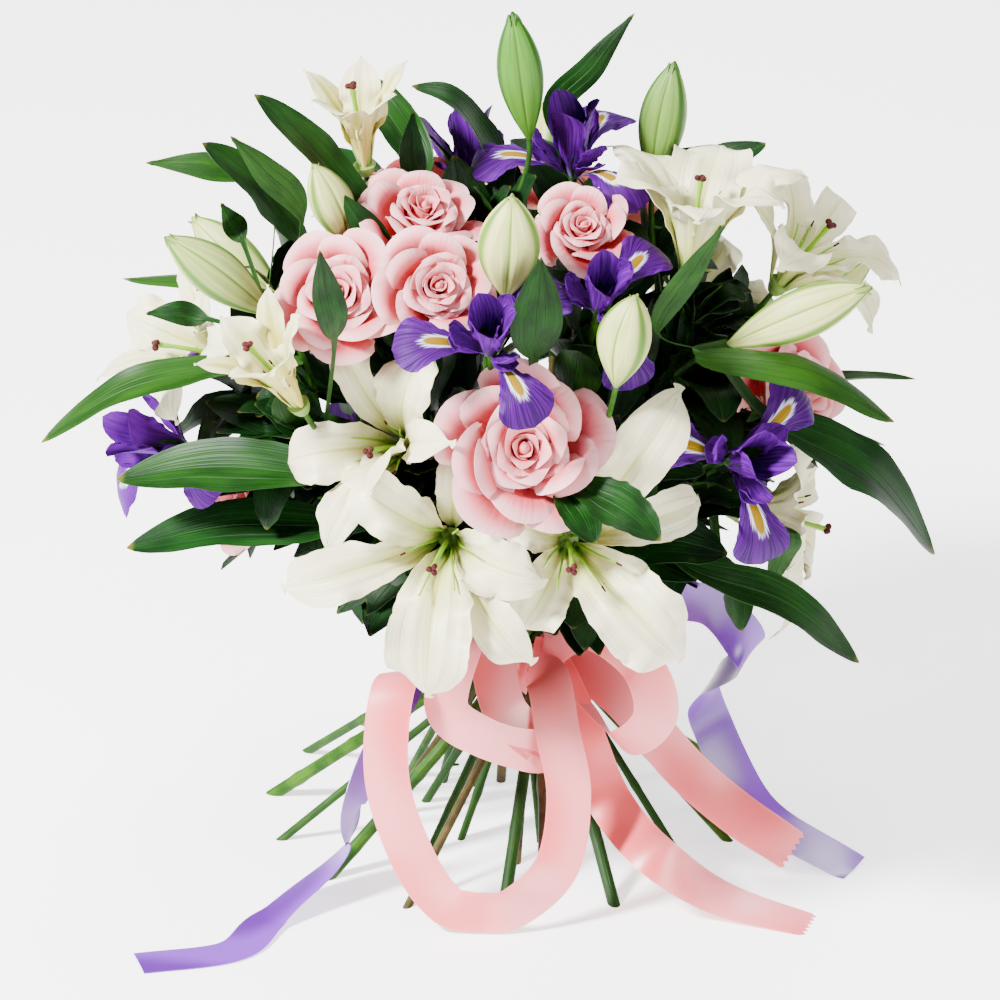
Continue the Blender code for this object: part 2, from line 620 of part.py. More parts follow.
def settle(turn, thick, others):
    """The slot of an inner stem, moved outwards until it rests on the stems that are there."""
    run = np.linspace(-30, 14, 45)[:, None]
    resting = 0.0
    for radius in np.arange(0, OUTER_RING, 0.05):
        place, slope = at_tie((radius, turn), INNER_LEAN)
        line = place + slope * run
        for slot, lean, other in others:
            middle, way = at_tie(slot, lean)
            gaps = np.linalg.norm(line[:, None] - (middle + way * run)[None], axis=2)
            if gaps.min() < thick + other + REST:
                return resting, turn
        resting = radius
    return resting, turn


def stem_path(slot, lean, end, facing, nudge):
    """A stem from its foot, straight through its slot in the tie, and curved to its end."""
    tie, slope = at_tie(slot, lean)
    foot = tie - slope * (TIE_HEIGHT + 6) / slope[2]
    above = tie + slope * 14
    span = np.linalg.norm(end - above)
    handles = above + slope * span * 0.34 + nudge[0], end - unit(facing) * span * 0.24 + nudge[1]
    return np.vstack((foot, bezier(above, *handles, end, np.linspace(0, 1, 4))))


def stalk_path(fork, end, facing, nudge):
    """A flower stalk from the fork of its stem to a bloom or a bud."""
    span = np.linalg.norm(end - fork)
    ahead = unit(fork - np.array((0, 0, TIE_HEIGHT - 30)))
    handles = fork + ahead * span * 0.3 + nudge[0] / 2, end - unit(facing) * span * 0.34 + nudge[1] / 2
    return bezier(fork - ahead * 3, *handles, end, np.linspace(0, 1, 4))


def rose_clock(name):
    """The clock angle of a rose's first petal, which differs from rose to rose."""
    return 47 * list(ROSES).index(name) % 72


def plan_flowers(bouquet):
    """Each bloom's frame: root, facing, up and right; the hearts keep their room from here on."""
    for name, (face, facing, length, _, first) in LILIES.items():
        axis, up, right = bloom_frame(facing)
        base = np.asarray(face, float) - axis * length * 0.39
        bouquet.flowers[name] = base, axis, up, right
        bouquet.put(name, cone(base, axis, 0.12 * length, 5.0, 8.0, clock=first))
        bouquet.reserve(name, egg(base, axis, length * 0.42, 20, belly=0.6))
    for name, (face, facing, radius) in ROSES.items():
        axis, up, right = bloom_frame(facing)
        base = np.asarray(face, float) - axis * radius * 0.78
        bouquet.flowers[name] = base, axis, up, right
        bouquet.put(name, cone(base, axis, 0.22 * radius, 4.0, 0.30 * radius, 5, rose_clock(name)))
        bouquet.reserve(name, egg(base + axis * 2, axis, 0.9 * radius, 0.95 * radius, belly=0.55))
    for name, (face, facing, size, first) in IRISES.items():
        axis, up, right = bloom_frame(facing)
        base = np.asarray(face, float) - axis * 0.43 * size
        bouquet.flowers[name] = base, axis, up, right
        bouquet.put(name, cone(base, axis, 0.18 * size, 3.6, 5.5, clock=first))
        bouquet.reserve(name, egg(base, axis, 0.5 * size, 0.27 * size, belly=0.6))


def plan_buds(bouquet):
    for stem, (_, _, buds) in LILY_STEMS.items():
        for root, tip, width in buds:
            reach = np.subtract(tip, root)
            bouquet.put(stem, egg(root, reach, np.linalg.norm(reach), width, 0.56, lobes=0.08))


def plan_stem(bouquet, name, slot, lean, end, facing, radius):
    bouquet.fit_tube(name, lambda nudge: stem_path(slot, lean, end, facing, nudge), radius, level=True)


def plan_stalk(bouquet, stem, fork, end, facing):
    bouquet.fit_tube(stem, lambda nudge: stalk_path(fork, end, facing, nudge), PEDICEL)


def plan_stems(bouquet):
    """Stems from their feet through the tie to the blooms, and the lilies' flower stalks."""
    ends = {}
    for name, (base, axis, _, _) in bouquet.flowers.items():
        if name.startswith(("rose", "iris")):
            radius = ROSE_STEM if name in ROSES else IRIS_STEM
            ends[name + "_stem"] = (base - axis * SEAT, axis, radius)
    for name, (fork, _, _) in LILY_STEMS.items():
        fork = np.asarray(fork, float)
        ends[name] = (fork, unit(fork - np.array((0, 0, TIE_HEIGHT - 30))), LILY_STEM)
    lean_of = {name: math.hypot(*end[:2]) / (end[2] - TIE_HEIGHT) for name, (end, _, _) in ends.items()}
    slim = sorted((name for name in ends if ends[name][2] < LILY_STEM), key=lean_of.get)
    inner = slim[:INNER_STEMS]
    rings = {name: (math.atan2(end[1], end[0]), radius) for name, (end, _, radius) in ends.items()}
    slots = ring_slots({name: ring for name, ring in rings.items() if name not in inner})
    placed = [(slot, OUTER_LEAN, ends[name][2]) for name, slot in slots.items()]
    spread = ring_slots({name: rings[name] for name in inner})
    for name in inner:
        slots[name] = settle(spread[name][1], ends[name][2], placed)
        placed.append((slots[name], INNER_LEAN, ends[name][2]))
    for name in [*inner, *(name for name in ends if name not in inner)]:
        plan_stem(bouquet, name, slots[name], INNER_LEAN if name in inner else OUTER_LEAN, *ends[name])
    for stem, (fork, blooms, buds) in LILY_STEMS.items():
        fork = np.asarray(fork, float)
        goals = [(base - axis * SEAT, axis) for base, axis, _, _ in map(bouquet.flowers.get, blooms)]
        goals += [(np.asarray(root, float) + unit(np.subtract(tip, root)) * 5, np.subtract(tip, root))
                  for root, tip, _ in buds]
        for goal, facing in goals:
            plan_stalk(bouquet, stem, fork, goal, facing)


def plan_petals(bouquet):
    """Petals, the foremost blooms first, so that the ones behind give way to them."""
    names = sorted(bouquet.flowers, key=lambda name: bouquet.flowers[name][0][1] - 40 * (name in POSED))
    for name in names:
        if name in ROSES:
            plan_rose(bouquet, name)
    for name in names:
        if name in LILIES:
            plan_lily(bouquet, name)
        elif name in IRISES:
            plan_iris(bouquet, name)


def petal(bouquet, name, kind, clock, size, spread=1.0, slim=1.0):
    """Adds a petal of a bloom at a clock angle in degrees, opened and slimmed by a share."""
    outline, bends, length, width, foot = PETALS[kind]
    coarse = OUTLINES[outline]["rows"] - (outline == "tepal" and size < LONG_TEPAL)
    clock += bouquet.rng.uniform(-4, 4)
    sway = bouquet.rng.uniform(-0.05, 0.05)

    def make(way, rows=None, columns=None):
        opened, turn, cut = way
        leans = [bend * spread * opened for bend in bends]
        wide = size * width * slim * (0.5 + cut / 2)
        return arched(
            outline, bouquet.flowers[name], clock + turn, size * length * cut, leans, wide,
            rows or coarse, columns, size * foot, sway,
        )

    return bouquet.fit_blade(name, make, PETAL_WAYS, PETAL, kind)


def plan_lily(bouquet, name):
    _, _, length, opening, first = LILIES[name]
    evenly = [(first + 60 * k, length * (1.0 if k % 2 else 0.97), opening) for k in range(6)]
    slim = HALF_OPEN if opening < 0.5 else 1.0
    for k, (clock, reach, spread) in enumerate(POSED.get(name, evenly)):
        petal(bouquet, name, "outer tepal" if k % 2 else "inner tepal", clock, reach, spread, slim)


def plan_rose(bouquet, name):
    radius = ROSES[name][2]

    def heart(_, rows=None, columns=None):
        return swirl(bouquet.flowers[name], radius, rows=rows, columns=columns)

    bouquet.fit_blade(name, heart, PETAL_WAYS[:1], PETAL, "swirl")
    for kind, count in (("inner petal", 3 if radius > FULL_ROSE else 0), ("outer petal", 5)):
        for k in range(count):
            petal(bouquet, name, kind, rose_clock(name) + 360 * k / count, radius)


def plan_iris(bouquet, name):
    _, _, size, first = IRISES[name]
    for k in range(3):
        petal(bouquet, name, "fall", first + 120 * k, size)
    for k in range(3):
        petal(bouquet, name, "standard", first + 60 + 120 * k, size)


def plan_leaf(bouquet, number, stem, start, tip, width, lift):
    """Grows a leaf from the nearest free place on its stem."""
    start, tip = np.asarray(start, float), np.asarray(tip, float)
    points = np.vstack([smooth(path, 5) for path in bouquet.paths[stem]])
    points = points[points[:, 2] > TIE_HEIGHT + 25]
    roots = points[np.argsort(np.linalg.norm(points - start, axis=1))[:24:6]]
    coarse = 4 if np.linalg.norm(tip - start) > LONG_LEAF else 3

    def make(way, rows=None, columns=None):
        bend, shift, cut, root = way
        move = np.array(SIGHT) * shift
        end = start + (tip - start) * cut + move
        wide = width * (0.6 + 0.4 * cut)
        return leaf(roots[root], start + move, end, wide, lift * bend, rows or coarse, columns)

    ways = [(*way, root) for way in LEAF_WAYS for root in range(len(roots))]
    bouquet.fit_blade(stem, make, ways, LEAF, f"leaf {number}")


def plan_ribbon(bouquet, name, turn, height, path):
    """Hangs a ribbon, gathered at the tie and drifting clear of what hangs there already."""
    turn = math.radians(turn)
    away = np.array((math.cos(turn), math.sin(turn), 0.0))
    start = away * (TIE_RADIUS + SATIN / 2 + CLEAR + 0.02) + (0, 0, height)
    around = np.array((-away[1], away[0], 0.0)) * (1 if path[0][0][0] > start[0] else -1)
    points = [(start, (0, 0, 1)), *path]
    last = len(points) - 1
    free = [math.sin(math.pi / 2 * min(k / 2, 1, (last - k) / 2)) for k in range(last + 1)]

    def make(drift, rows=None, columns=None):
        moved = [(place + drift[k] * free[k], lie) for k, (place, lie) in enumerate(points)]
        moved.insert(1, (start + away * 5 + around * 6, (0, 0, 1)))
        grid = strip(moved, rows or 2, columns or 1)
        grid[:, :, 2] = np.maximum(grid[:, :, 2], SATIN / 2 + CLEAR + 0.05)
        return grid

    bouquet.fit_blade(name, make, DRIFTS, SATIN, "ribbon")


def tie_solid():
    """The ribbon wound round the stems: a band that follows their waist."""
    bm = bmesh.new()
    heights = np.linspace(-TIE_HALF, TIE_HALF, 3)
    waist = np.hypot(OUTER_RING, heights * math.tan(math.radians(OUTER_LEAN))) + LILY_STEM + REST
    waist /= math.cos(math.pi / TIE_SIDES)
    profile = [(r, 0.0, TIE_HEIGHT + h) for r, h in zip(waist, heights)]
    profile += [(TIE_RADIUS, 0.0, TIE_HEIGHT + h) for h in (TIE_HALF, -TIE_HALF)]
    ring = [bm.verts.new(p) for p in profile]
    edges = [bm.edges.new((a, b)) for a, b in zip(ring, ring[1:] + ring[:1])]
    bmesh.ops.spin(
        bm, geom=ring + edges, axis=(0, 0, 1), angle=2 * math.pi, steps=TIE_SIDES, use_merge=True)
    bmesh.ops.remove_doubles(bm, verts=bm.verts, dist=0.01)
    return outward(bm)


# Objects

def plain_material(name):
    colour, roughness = COLOURS[name]
    material = bpy.data.materials.new(name)
    material.use_nodes = True
    shader = material.node_tree.nodes["Principled BSDF"]
    shader.inputs["Base Color"].default_value = (*colour, 1)
    shader.inputs["Roughness"].default_value = roughness
    shader.inputs["Metallic"].default_value = 0.0
    return material


def as_object(name, bm, collection):
    """An object from a solid in millimetres, moved so that the bouquet's middle is the origin."""
    bmesh.ops.translate(bm, verts=bm.verts, vec=(-MIDDLE[0], -MIDDLE[1], 0))
    bmesh.ops.scale(bm, verts=bm.verts, vec=(METRES, METRES, METRES))
    mesh = bpy.data.meshes.new(name)
    bm.to_mesh(mesh)
    bm.free()
    thing = bpy.data.objects.new(name, mesh)
    collection.objects.link(thing)
    return thing


def keep_body(mesh):
    """Keeps the largest closed body of a fused mesh: hollows are filled and loose scraps dropped."""
    bm = bmesh.new()
    bm.from_mesh(mesh)
    left, bodies = set(bm.verts), []
    while left:
        body, edge = set(), [left.pop()]
        while edge:
            vert = edge.pop()
            body.add(vert)
            fresh = [e.other_vert(vert) for e in vert.link_edges if e.other_vert(vert) in left]
            left.difference_update(fresh)
            edge.extend(fresh)
        bodies.append(body)
    bodies.sort(key=len)
    spare = [vert for body in bodies[:-1] for vert in body]
    if spare:
        bmesh.ops.delete(bm, geom=spare, context="VERTS")
    bm.to_mesh(mesh)
    bm.free()


def fuse(name, solids, collection, material):
    """One object from a node's solids, by one union."""
    thing = as_object(name, solids[0], collection)
    if len(solids) > 1:
        repeats = bpy.data.collections.new("repeats of " + name)
        bpy.context.scene.collection.children.link(repeats)
        for number, solid in enumerate(solids[1:]):
            as_object(f"{name} {number}", solid, repeats)
        union = thing.modifiers.new("fuse", "BOOLEAN")
        union.operation = "UNION"
        union.operand_type = "COLLECTION"
        union.collection = repeats
        union.solver = "MANIFOLD"
        depsgraph = bpy.context.evaluated_depsgraph_get()
        fused = bpy.data.meshes.new_from_object(thing.evaluated_get(depsgraph))
        thing.modifiers.remove(union)
        thing.data = fused
        for repeat in list(repeats.objects):
            bpy.data.objects.remove(repeat)
        bpy.data.collections.remove(repeats)
        keep_body(fused)
    thing.data.name = name
    thing.data.materials.clear()
    thing.data.materials.append(material)
    thing.data.shade_smooth()
    thing.data.set_sharp_from_angle(angle=math.radians(40))
    return thing


def material_of(name):
    if name in RIBBONS:
        return RIBBONS[name][0]
    if name == "tie":
        return "pink satin"
    if "stem" in name:
        return "stem"
    return name.split("_")[0]


def plan():
    bouquet = Bouquet()
    plan_flowers(bouquet)
    plan_buds(bouquet)
    plan_stems(bouquet)
    bouquet.put("tie", tie_solid())
    plan_petals(bouquet)
    for name, (_, (turn, height), path) in RIBBONS.items():
        plan_ribbon(bouquet, name, turn, height, path)
    for number, row in enumerate(LEAVES):
        plan_leaf(bouquet, number, *row)
    return bouquet


def main():
    for thing in list(bpy.data.objects):
        bpy.data.objects.remove(thing)
    bouquet = plan()
    parts = bpy.data.collections.new("bouquet")
    bpy.context.scene.collection.children.link(parts)
    materials = {name: plain_material(name) for name in COLOURS}
    for name, solids in bouquet.solids.items():
        fuse(name, solids, parts, materials[material_of(name)])
    return bouquet


if __name__ == "__main__":
    main()
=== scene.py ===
"""The looks of a hand-tied bouquet of roses, lilies and irises that stands on its cut stems.

Places are in millimetres from the middle of the tie, projected on the floor: +X to the right,
+Y to the back, +Z up. Meshes are written in metres, shifted so that the bouquet's middle is at 0.
"""

import math

import bmesh
import bpy
import numpy as np
from mathutils import Matrix, Vector
from mathutils.bvhtree import BVHTree


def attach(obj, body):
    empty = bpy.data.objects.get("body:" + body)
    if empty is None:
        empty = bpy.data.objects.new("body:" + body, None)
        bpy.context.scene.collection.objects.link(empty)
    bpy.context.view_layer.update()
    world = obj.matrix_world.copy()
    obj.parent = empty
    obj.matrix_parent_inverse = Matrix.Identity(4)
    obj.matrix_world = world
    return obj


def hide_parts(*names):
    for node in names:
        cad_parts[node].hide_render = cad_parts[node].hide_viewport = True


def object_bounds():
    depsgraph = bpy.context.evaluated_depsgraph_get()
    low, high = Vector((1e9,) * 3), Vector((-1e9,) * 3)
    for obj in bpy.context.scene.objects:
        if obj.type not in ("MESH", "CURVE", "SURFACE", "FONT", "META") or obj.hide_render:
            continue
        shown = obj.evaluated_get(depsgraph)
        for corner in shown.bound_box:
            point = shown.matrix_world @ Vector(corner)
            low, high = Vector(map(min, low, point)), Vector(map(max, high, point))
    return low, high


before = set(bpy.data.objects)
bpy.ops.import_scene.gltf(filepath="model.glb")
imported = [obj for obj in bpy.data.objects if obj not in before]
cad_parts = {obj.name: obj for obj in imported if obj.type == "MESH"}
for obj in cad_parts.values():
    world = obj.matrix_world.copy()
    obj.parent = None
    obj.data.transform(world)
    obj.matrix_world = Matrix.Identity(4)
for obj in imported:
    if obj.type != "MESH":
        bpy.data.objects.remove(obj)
CAD_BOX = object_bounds()

# Driving sizes, in millimetres
METRES = 0.001
MIDDLE = (-9.0, 3.5)  # the bouquet's middle on the floor, from the middle of the tie
CLEAR = 0.4  # air kept between pieces that belong to different solids
REST = 0.32  # air between stems that rest on each other in the tie
SEAT = 0.8  # air between a bloom and the end of its stem
PETAL = 0.8  # thickness of a petal
LEAF = 0.8  # thickness of a leaf
SATIN = 0.7  # thickness of the ribbon
RIBBON_WIDTH = 25.0
ROOT = 2.5  # how deep in a bloom's heart its petals start
TIE_HEIGHT = 108.0
TIE_HALF = 9.0
TIE_RADIUS = 31.6
TIE_SIDES = 16
PINCH = 0.34  # share of the ribbon's width where it is gathered at the tie
LILY_STEM, ROSE_STEM, IRIS_STEM = 3.3, 2.3, 2.2  # radii
PEDICEL = 1.7
OUTER_RING = 22.2  # radius of the outer ring of stems at the tie
INNER_LEAN, OUTER_LEAN = 31.0, 50.0  # how far the stems of the two rings lean there, in degrees
SPIRAL = 66.0  # degrees that a stem turns round the bundle from the tie to its bloom
INNER_STEMS = 8  # the stems that go most steeply up to their blooms
SIGHT = Vector((0.0, -0.891, 0.454))  # towards the eye, along which crowded pieces give way

# Blooms: middle of the face, the way it faces, and size
# A lily: face, facing, tepal length, opening (1 is wide), clock of the first tepal
LILIES = {
    "lily_front_left": ((-36, -150, 241), (-0.15, -0.93, 0.30), 118, 1.0, 0),
    "lily_front_right": ((38, -150, 241), (0.10, -0.92, 0.35), 118, 1.0, 0),
    "lily_centre_left": ((-66, -112, 287), (-0.45, -0.75, 0.48), 92, 0.95, 20),
    "lily_top_right": ((106, -38, 388), (0.12, 0.10, 0.98), 96, 0.62, 15),
    "lily_right": ((168, -12, 357), (0.55, -0.10, 0.83), 88, 0.85, 40),
    "lily_left": ((-172, -10, 296), (-0.85, -0.20, 0.48), 86, 0.85, 10),
    "lily_half_open_left": ((-124, -118, 330), (-0.42, -0.30, 0.85), 76, 0.36, 30),
    "lily_half_open_top": ((-80, -18, 432), (-0.10, -0.05, 0.99), 68, 0.40, 0),
    "lily_low_right": ((158, 18, 176), (0.93, -0.12, -0.05), 92, 0.90, 30),
    "lily_back": ((-20, 146, 285), (-0.10, 0.90, 0.42), 104, 0.95, 0),
    "lily_back_right": ((104, 112, 262), (0.62, 0.72, 0.30), 98, 0.90, 30),
}
# Tepals of the two front lilies: clock, length, reach of the tip as a share of wide open
POSED = {
    "lily_front_left": (
        (183, 122, 1.0), (252, 122, 1.0), (309, 92, 1.05),
        (15, 84, 0.9), (98, 92, 0.85), (143, 108, 0.95),
    ),
    "lily_front_right": (
        (142, 126, 1.0), (38, 138, 0.98), (211, 84, 1.1),
        (75, 104, 1.15), (289, 60, 1.15), (340, 62, 1.15),
    ),
}
# A rose: face, facing, radius
ROSES = {
    "rose_front": ((11, -158, 307), (0.03, -0.88, 0.47), 46),
    "rose_top_middle": ((-36, -118, 388), (0.15, -0.80, 0.58), 33),
    "rose_top_left": ((-94, -104, 378), (-0.20, -0.72, 0.66), 36),
    "rose_top": ((-44, -50, 405), (0.22, -0.22, 0.95), 35),
    "rose_small": ((44, -62, 398), (0.10, -0.60, 0.79), 27),
    "rose_right": ((168, -42, 290), (0.72, -0.46, 0.52), 40),
    "rose_left": ((-156, -8, 205), (-0.92, -0.22, 0.30), 32),
    "rose_back": ((46, 98, 350), (0.25, 0.62, 0.75), 40),
    "rose_back_left": ((-74, 92, 350), (-0.40, 0.60, 0.70), 38),
}
# An iris: face, facing, size, clock of the first fall
IRISES = {
    "iris_front": ((-8, -146, 372), (0.00, -0.58, 0.81), 60, 270),
    "iris_middle": ((54, -110, 380), (0.12, -0.55, 0.83), 57, 290),
    "iris_right": ((136, -122, 282), (0.45, -0.78, 0.43), 66, 180),
    "iris_top": ((38, 0, 420), (0.00, -0.12, 0.99), 63, 265),
    "iris_left": ((-198, -34, 250), (-0.80, -0.42, 0.42), 63, 215),
    "iris_back": ((-92, 128, 222), (-0.45, 0.85, 0.25), 60, 180),
    "iris_back_top": ((-18, 96, 366), (-0.10, 0.55, 0.83), 60, 90),
}

# Lily stems: where the stem forks, the blooms that it carries, and its buds
# A bud: root, tip, greatest width
LILY_STEMS = {
    "lily_stem_front_left": ((-34, -62, 205), ("lily_front_left", "lily_centre_left"), ()),
    "lily_stem_front_right": ((34, -66, 212), ("lily_front_right",), (
        ((61, -138, 333), (72, -138, 392), 30),
    )),
    "lily_stem_right": ((84, -24, 262), ("lily_top_right", "lily_right"), (
        ((120, -84, 332), (203, -92, 374), 28),
        ((82, 14, 382), (94, 16, 460), 26),
    )),
    "lily_stem_left": ((-92, -44, 240), ("lily_left", "lily_half_open_left"), (
        ((-128, -82, 350), (-188, -90, 404), 27),
    )),
    "lily_stem_top": ((-20, -22, 320), ("lily_half_open_top",), (
        ((14, -16, 424), (4, -14, 505), 25),
        ((0, -106, 372), (4, -112, 440), 34),
        ((-86, -56, 380), (-106, -56, 432), 24),
    )),
    "lily_stem_low_right": ((72, 38, 190), ("lily_low_right", "lily_back_right"), (
        ((152, 68, 272), (208, 92, 304), 24),
    )),
    "lily_stem_back": ((-22, 76, 205), ("lily_back",), (
        ((-122, 66, 284), (-176, 96, 324), 25),
        ((24, 138, 318), (30, 178, 366), 25),
    )),
}

# Leaves: stem, root of the blade, tip, width, and how far its middle is lifted
LEAVES = (
    ("lily_stem_left", (-136, -66, 312), (-258, -62, 262), 23, 16),
    ("lily_stem_front_left", (-88, -104, 262), (-216, -72, 244), 30, 12),
    ("lily_stem_front_left", (-84, -96, 231), (-211, -54, 192), 27, 10),
    ("lily_stem_left", (-130, -4, 394), (-200, 6, 402), 15, 5),
    ("lily_stem_top", (-112, -34, 374), (-168, -30, 432), 28, 6),
    ("lily_stem_left", (-112, -64, 402), (-152, -70, 456), 15, 6),
    ("lily_stem_top", (-76, -40, 390), (-139, -30, 462), 26, 8),
    ("lily_stem_top", (-52, -16, 396), (-51, -6, 440), 13, 4),
    ("lily_stem_top", (6, 2, 378), (-52, 14, 446), 34, 22),
    ("lily_stem_right", (26, 20, 414), (72, 28, 484), 15, 5),
    ("lily_stem_right", (72, -24, 412), (150, -30, 410), 13, 10),
    ("lily_stem_right", (84, -104, 352), (122, -110, 422), 13, 6),
    ("lily_stem_right", (106, -110, 340), (216, -96, 292), 22, 16),
    ("lily_stem_right", (146, -84, 288), (240, -50, 186), 40, 14),
    ("lily_stem_front_right", (56, -136, 286), (76, -146, 252), 30, 8),
    ("lily_stem_right", (94, -96, 208), (198, -66, 126), 23, 14),
    ("lily_stem_low_right", (156, -60, 208), (146, -62, 166), 13, 4),
    ("lily_stem_left", (-94, -140, 366), (-102, -156, 428), 16, 5),
    ("lily_stem_left", (-166, -16, 316), (-200, -14, 318), 12, 3),
    ("lily_stem_left", (-146, -8, 360), (-158, -8, 384), 12, 3),
    ("lily_stem_top", (-64, -66, 372), (-92, -62, 418), 16, 5),
    ("lily_stem_front_left", (-44, -118, 326), (-44, -124, 364), 18, 5),
    ("lily_stem_low_right", (104, 60, 196), (214, 84, 186), 30, 14),
    ("lily_stem_low_right", (122, 44, 226), (230, 40, 250), 26, 12),
    ("lily_stem_low_right", (74, 104, 178), (130, 182, 138), 28, 12),
    ("lily_stem_low_right", (66, 98, 300), (132, 160, 326), 26, 12),
    ("lily_stem_back", (18, 118, 222), (62, 196, 214), 28, 12),
    ("lily_stem_back", (-52, 118, 206), (-70, 204, 160), 30, 14),
    ("lily_stem_back", (-84, 62, 210), (-190, 96, 190), 28, 14),
    ("lily_stem_back", (-96, 52, 282), (-214, 66, 300), 26, 12),
    ("lily_stem_back", (-64, 130, 290), (-98, 200, 316), 27, 12),
    ("lily_stem_back", (8, 126, 304), (36, 196, 332), 25, 12),
    ("lily_stem_top", (-46, 34, 380), (-86, 88, 418), 24, 10),
    ("lily_stem_right", (92, 46, 350), (146, 96, 370), 22, 10),
    ("rose_front_stem", (16, -108, 338), (20, -112, 402), 26, 6),
    ("rose_right_stem", (118, -76, 200), (132, -94, 160), 23, 4),
    ("rose_back_stem", (64, 92, 296), (120, 140, 300), 24, 6),
    ("rose_left_stem", (-118, 12, 186), (-170, 34, 158), 22, 6),
)

# Ribbons: colour, where they leave the tie (degrees round it and height), and the points that they
# pass through with the way that their width lies there
RIBBONS = {
    "ribbon_loop_left": ("pink satin", (-130, 103), (
        ((-44, -58, 120), (0.6, -0.5, 0.6)),
        ((-62, -98, 128), (1, 0, 0.1)),
        ((-66, -126, 86), (1, 0, 0)),
        ((-52, -142, 44), (0.96, 0, 0.25)),
        ((-34, -150, 18), (0.75, 0, 0.66)),
        ((-17.7, -153, 13.5), (0, 0, 1)),
    )),
    "ribbon_loop_right": ("pink satin", (-78, 104), (
        ((24, -72, 118), (1, 0, 0)),
        ((32, -98, 98), (1, 0, 0)),
        ((36, -120, 70), (1, 0, 0)),
        ((28, -138, 36), (0.92, 0, -0.38)),
        ((4, -150, 17), (0.6, 0, -0.8)),
        ((-16.3, -153, 13.5), (0, 0, -1)),
    )),
    "ribbon_bow_left": ("pink satin", (-116, 113), (
        ((-30, -76, 152), (0.7, -0.3, 0.6)),
        ((-34, -98, 122), (1, 0, 0.2)),
        ((-16, -108, 90), (0.8, 0, 0.6)),
        ((6, -104, 88), (0.7, 0, -0.7)),
        ((8, -90, 112), (1, 0, -0.3)),
        ((-8, -66, 132), (0.9, 0, 0.2)),
    )),
    "ribbon_bow_right": ("pink satin", (-62, 113), (
        ((46, -70, 150), (0.5, -0.3, 0.8)),
        ((76, -92, 138), (0.8, 0, 0.6)),
        ((84, -96, 108), (1, 0, 0.1)),
        ((64, -92, 88), (0.6, 0, -0.8)),
        ((44, -72, 104), (0.7, 0.3, -0.6)),
    )),
    "ribbon_tail_front": ("pink satin", (-52, 104), (
        ((46, -74, 96), (0.9, 0, 0.3)),
        ((64, -96, 66), (0.9, 0.1, 0.4)),
        ((92, -118, 34), (0.6, 0.5, 0.5)),
        ((128, -130, 10), (0.45, 0.8, 0.25)),
        ((168, -142, 1), (0.2, 0.98, 0)),
    )),
    "ribbon_tail_back": ("pink satin", (-36, 104), (
        ((66, -50, 96), (0.7, 0.4, 0.5)),
        ((100, -62, 58), (0.5, 0.4, 0.8)),
        ((130, -72, 34), (0.2, 0.5, 0.9)),
        ((160, -84, 17), (0.05, 0.1, 1)),
    )),
    "ribbon_lilac_left": ("lilac satin", (-154, 108), (
        ((-52, -66, 104), (0.1, 0.4, 0.9)),
        ((-66, -92, 60), (0.4, 0.5, 0.7)),
        ((-86, -110, 24), (0.7, 0.6, 0.4)),
        ((-122, -142, 3), (0.55, -0.8, 0.1)),
        ((-164, -172, 1), (0.5, -0.86, 0)),
        ((-204, -188, 1), (0.25, -0.97, 0)),
    )),
    "ribbon_lilac_right": ("lilac satin", (-18, 113), (
        ((66, -44, 150), (0.3, -0.3, 0.9)),
        ((112, -66, 162), (0.3, -0.4, 0.9)),
        ((136, -72, 136), (0.5, -0.5, 0.7)),
        ((114, -52, 106), (0.6, -0.1, 0.8)),
        ((116, -34, 72), (0.9, 0.1, 0.3)),
        ((142, -50, 26), (0.7, 0.6, 0.3)),
        ((196, -76, 1), (0.3, 0.95, 0)),
    )),
}

# Outlines of the blades: grid rows and columns, width at the root as a share of the widest,
# power of the swell and of the taper, how round the top edge is, the cup in degrees at the root
# and beyond the middle, the skew that laps each petal over the next, and the ruffle of the edge
OUTLINES = {
    "tepal": {
        "rows": 4, "columns": 2, "root": 0.06, "swell": 1.4, "taper": 0.62, "top": 0.0, "cup": (36, 18),
        "skew": 0, "ruffle": 0.05,
    },
    "rose petal": {
        "rows": 3, "columns": 2, "root": 0.08, "swell": 0.75, "taper": 0.0, "top": 0.2, "cup": (38, 32),
        "skew": 20, "ruffle": 0.0,
    },
    "fall": {
        "rows": 3, "columns": 2, "root": 0.08, "swell": 2.3, "taper": 0.3, "top": 0.0, "cup": (30, -16),
        "skew": 0, "ruffle": 0.04,
    },
    "standard": {
        "rows": 3, "columns": 2, "root": 0.12, "swell": 1.4, "taper": 0.35, "top": 0.0, "cup": (40, 34),
        "skew": 8, "ruffle": 0.05,
    },
    "leaf": {
        "rows": 4, "columns": 2, "root": 0.04, "swell": 0.7, "taper": 0.72, "top": 0.0, "cup": (24, 22),
        "skew": 0, "ruffle": 0.03,
    },
}

# Petals: outline, lean from the bloom's axis at even steps in degrees, then length, width and
# distance of the root from the axis, as shares of the bloom's size
PETALS = {
    "inner tepal": ("tepal", (13, 22, 56, 90, 110), 1.0, 0.37, 0.032),
    "outer tepal": ("tepal", (27, 30, 66, 96, 116), 1.0, 0.28, 0.045),
    "inner petal": ("rose petal", (46, 42, 6, 18), 0.98, 0.95, 0.13),
    "outer petal": ("rose petal", (69, 66, 38, 80), 1.10, 1.50, 0.158),
    "fall": ("fall", (50, 60, 98, 148), 1.0, 0.52, 0.047),
    "standard": ("standard", (22, 4, 10, 32), 0.83, 0.32, 0.043),
}
LONG_LEAF = 95.0  # a leaf longer than this gets one more row of faces
LONG_TEPAL = 90.0  # and a tepal that is shorter than this has one row less
FULL_ROSE = 42.0  # a rose of a larger radius has inner petals too
HALF_OPEN = 0.72  # share of their width that the tepals of a half-open lily show


# Small geometry

def unit(vector):
    vector = np.asarray(vector, float)
    return vector / np.linalg.norm(vector)


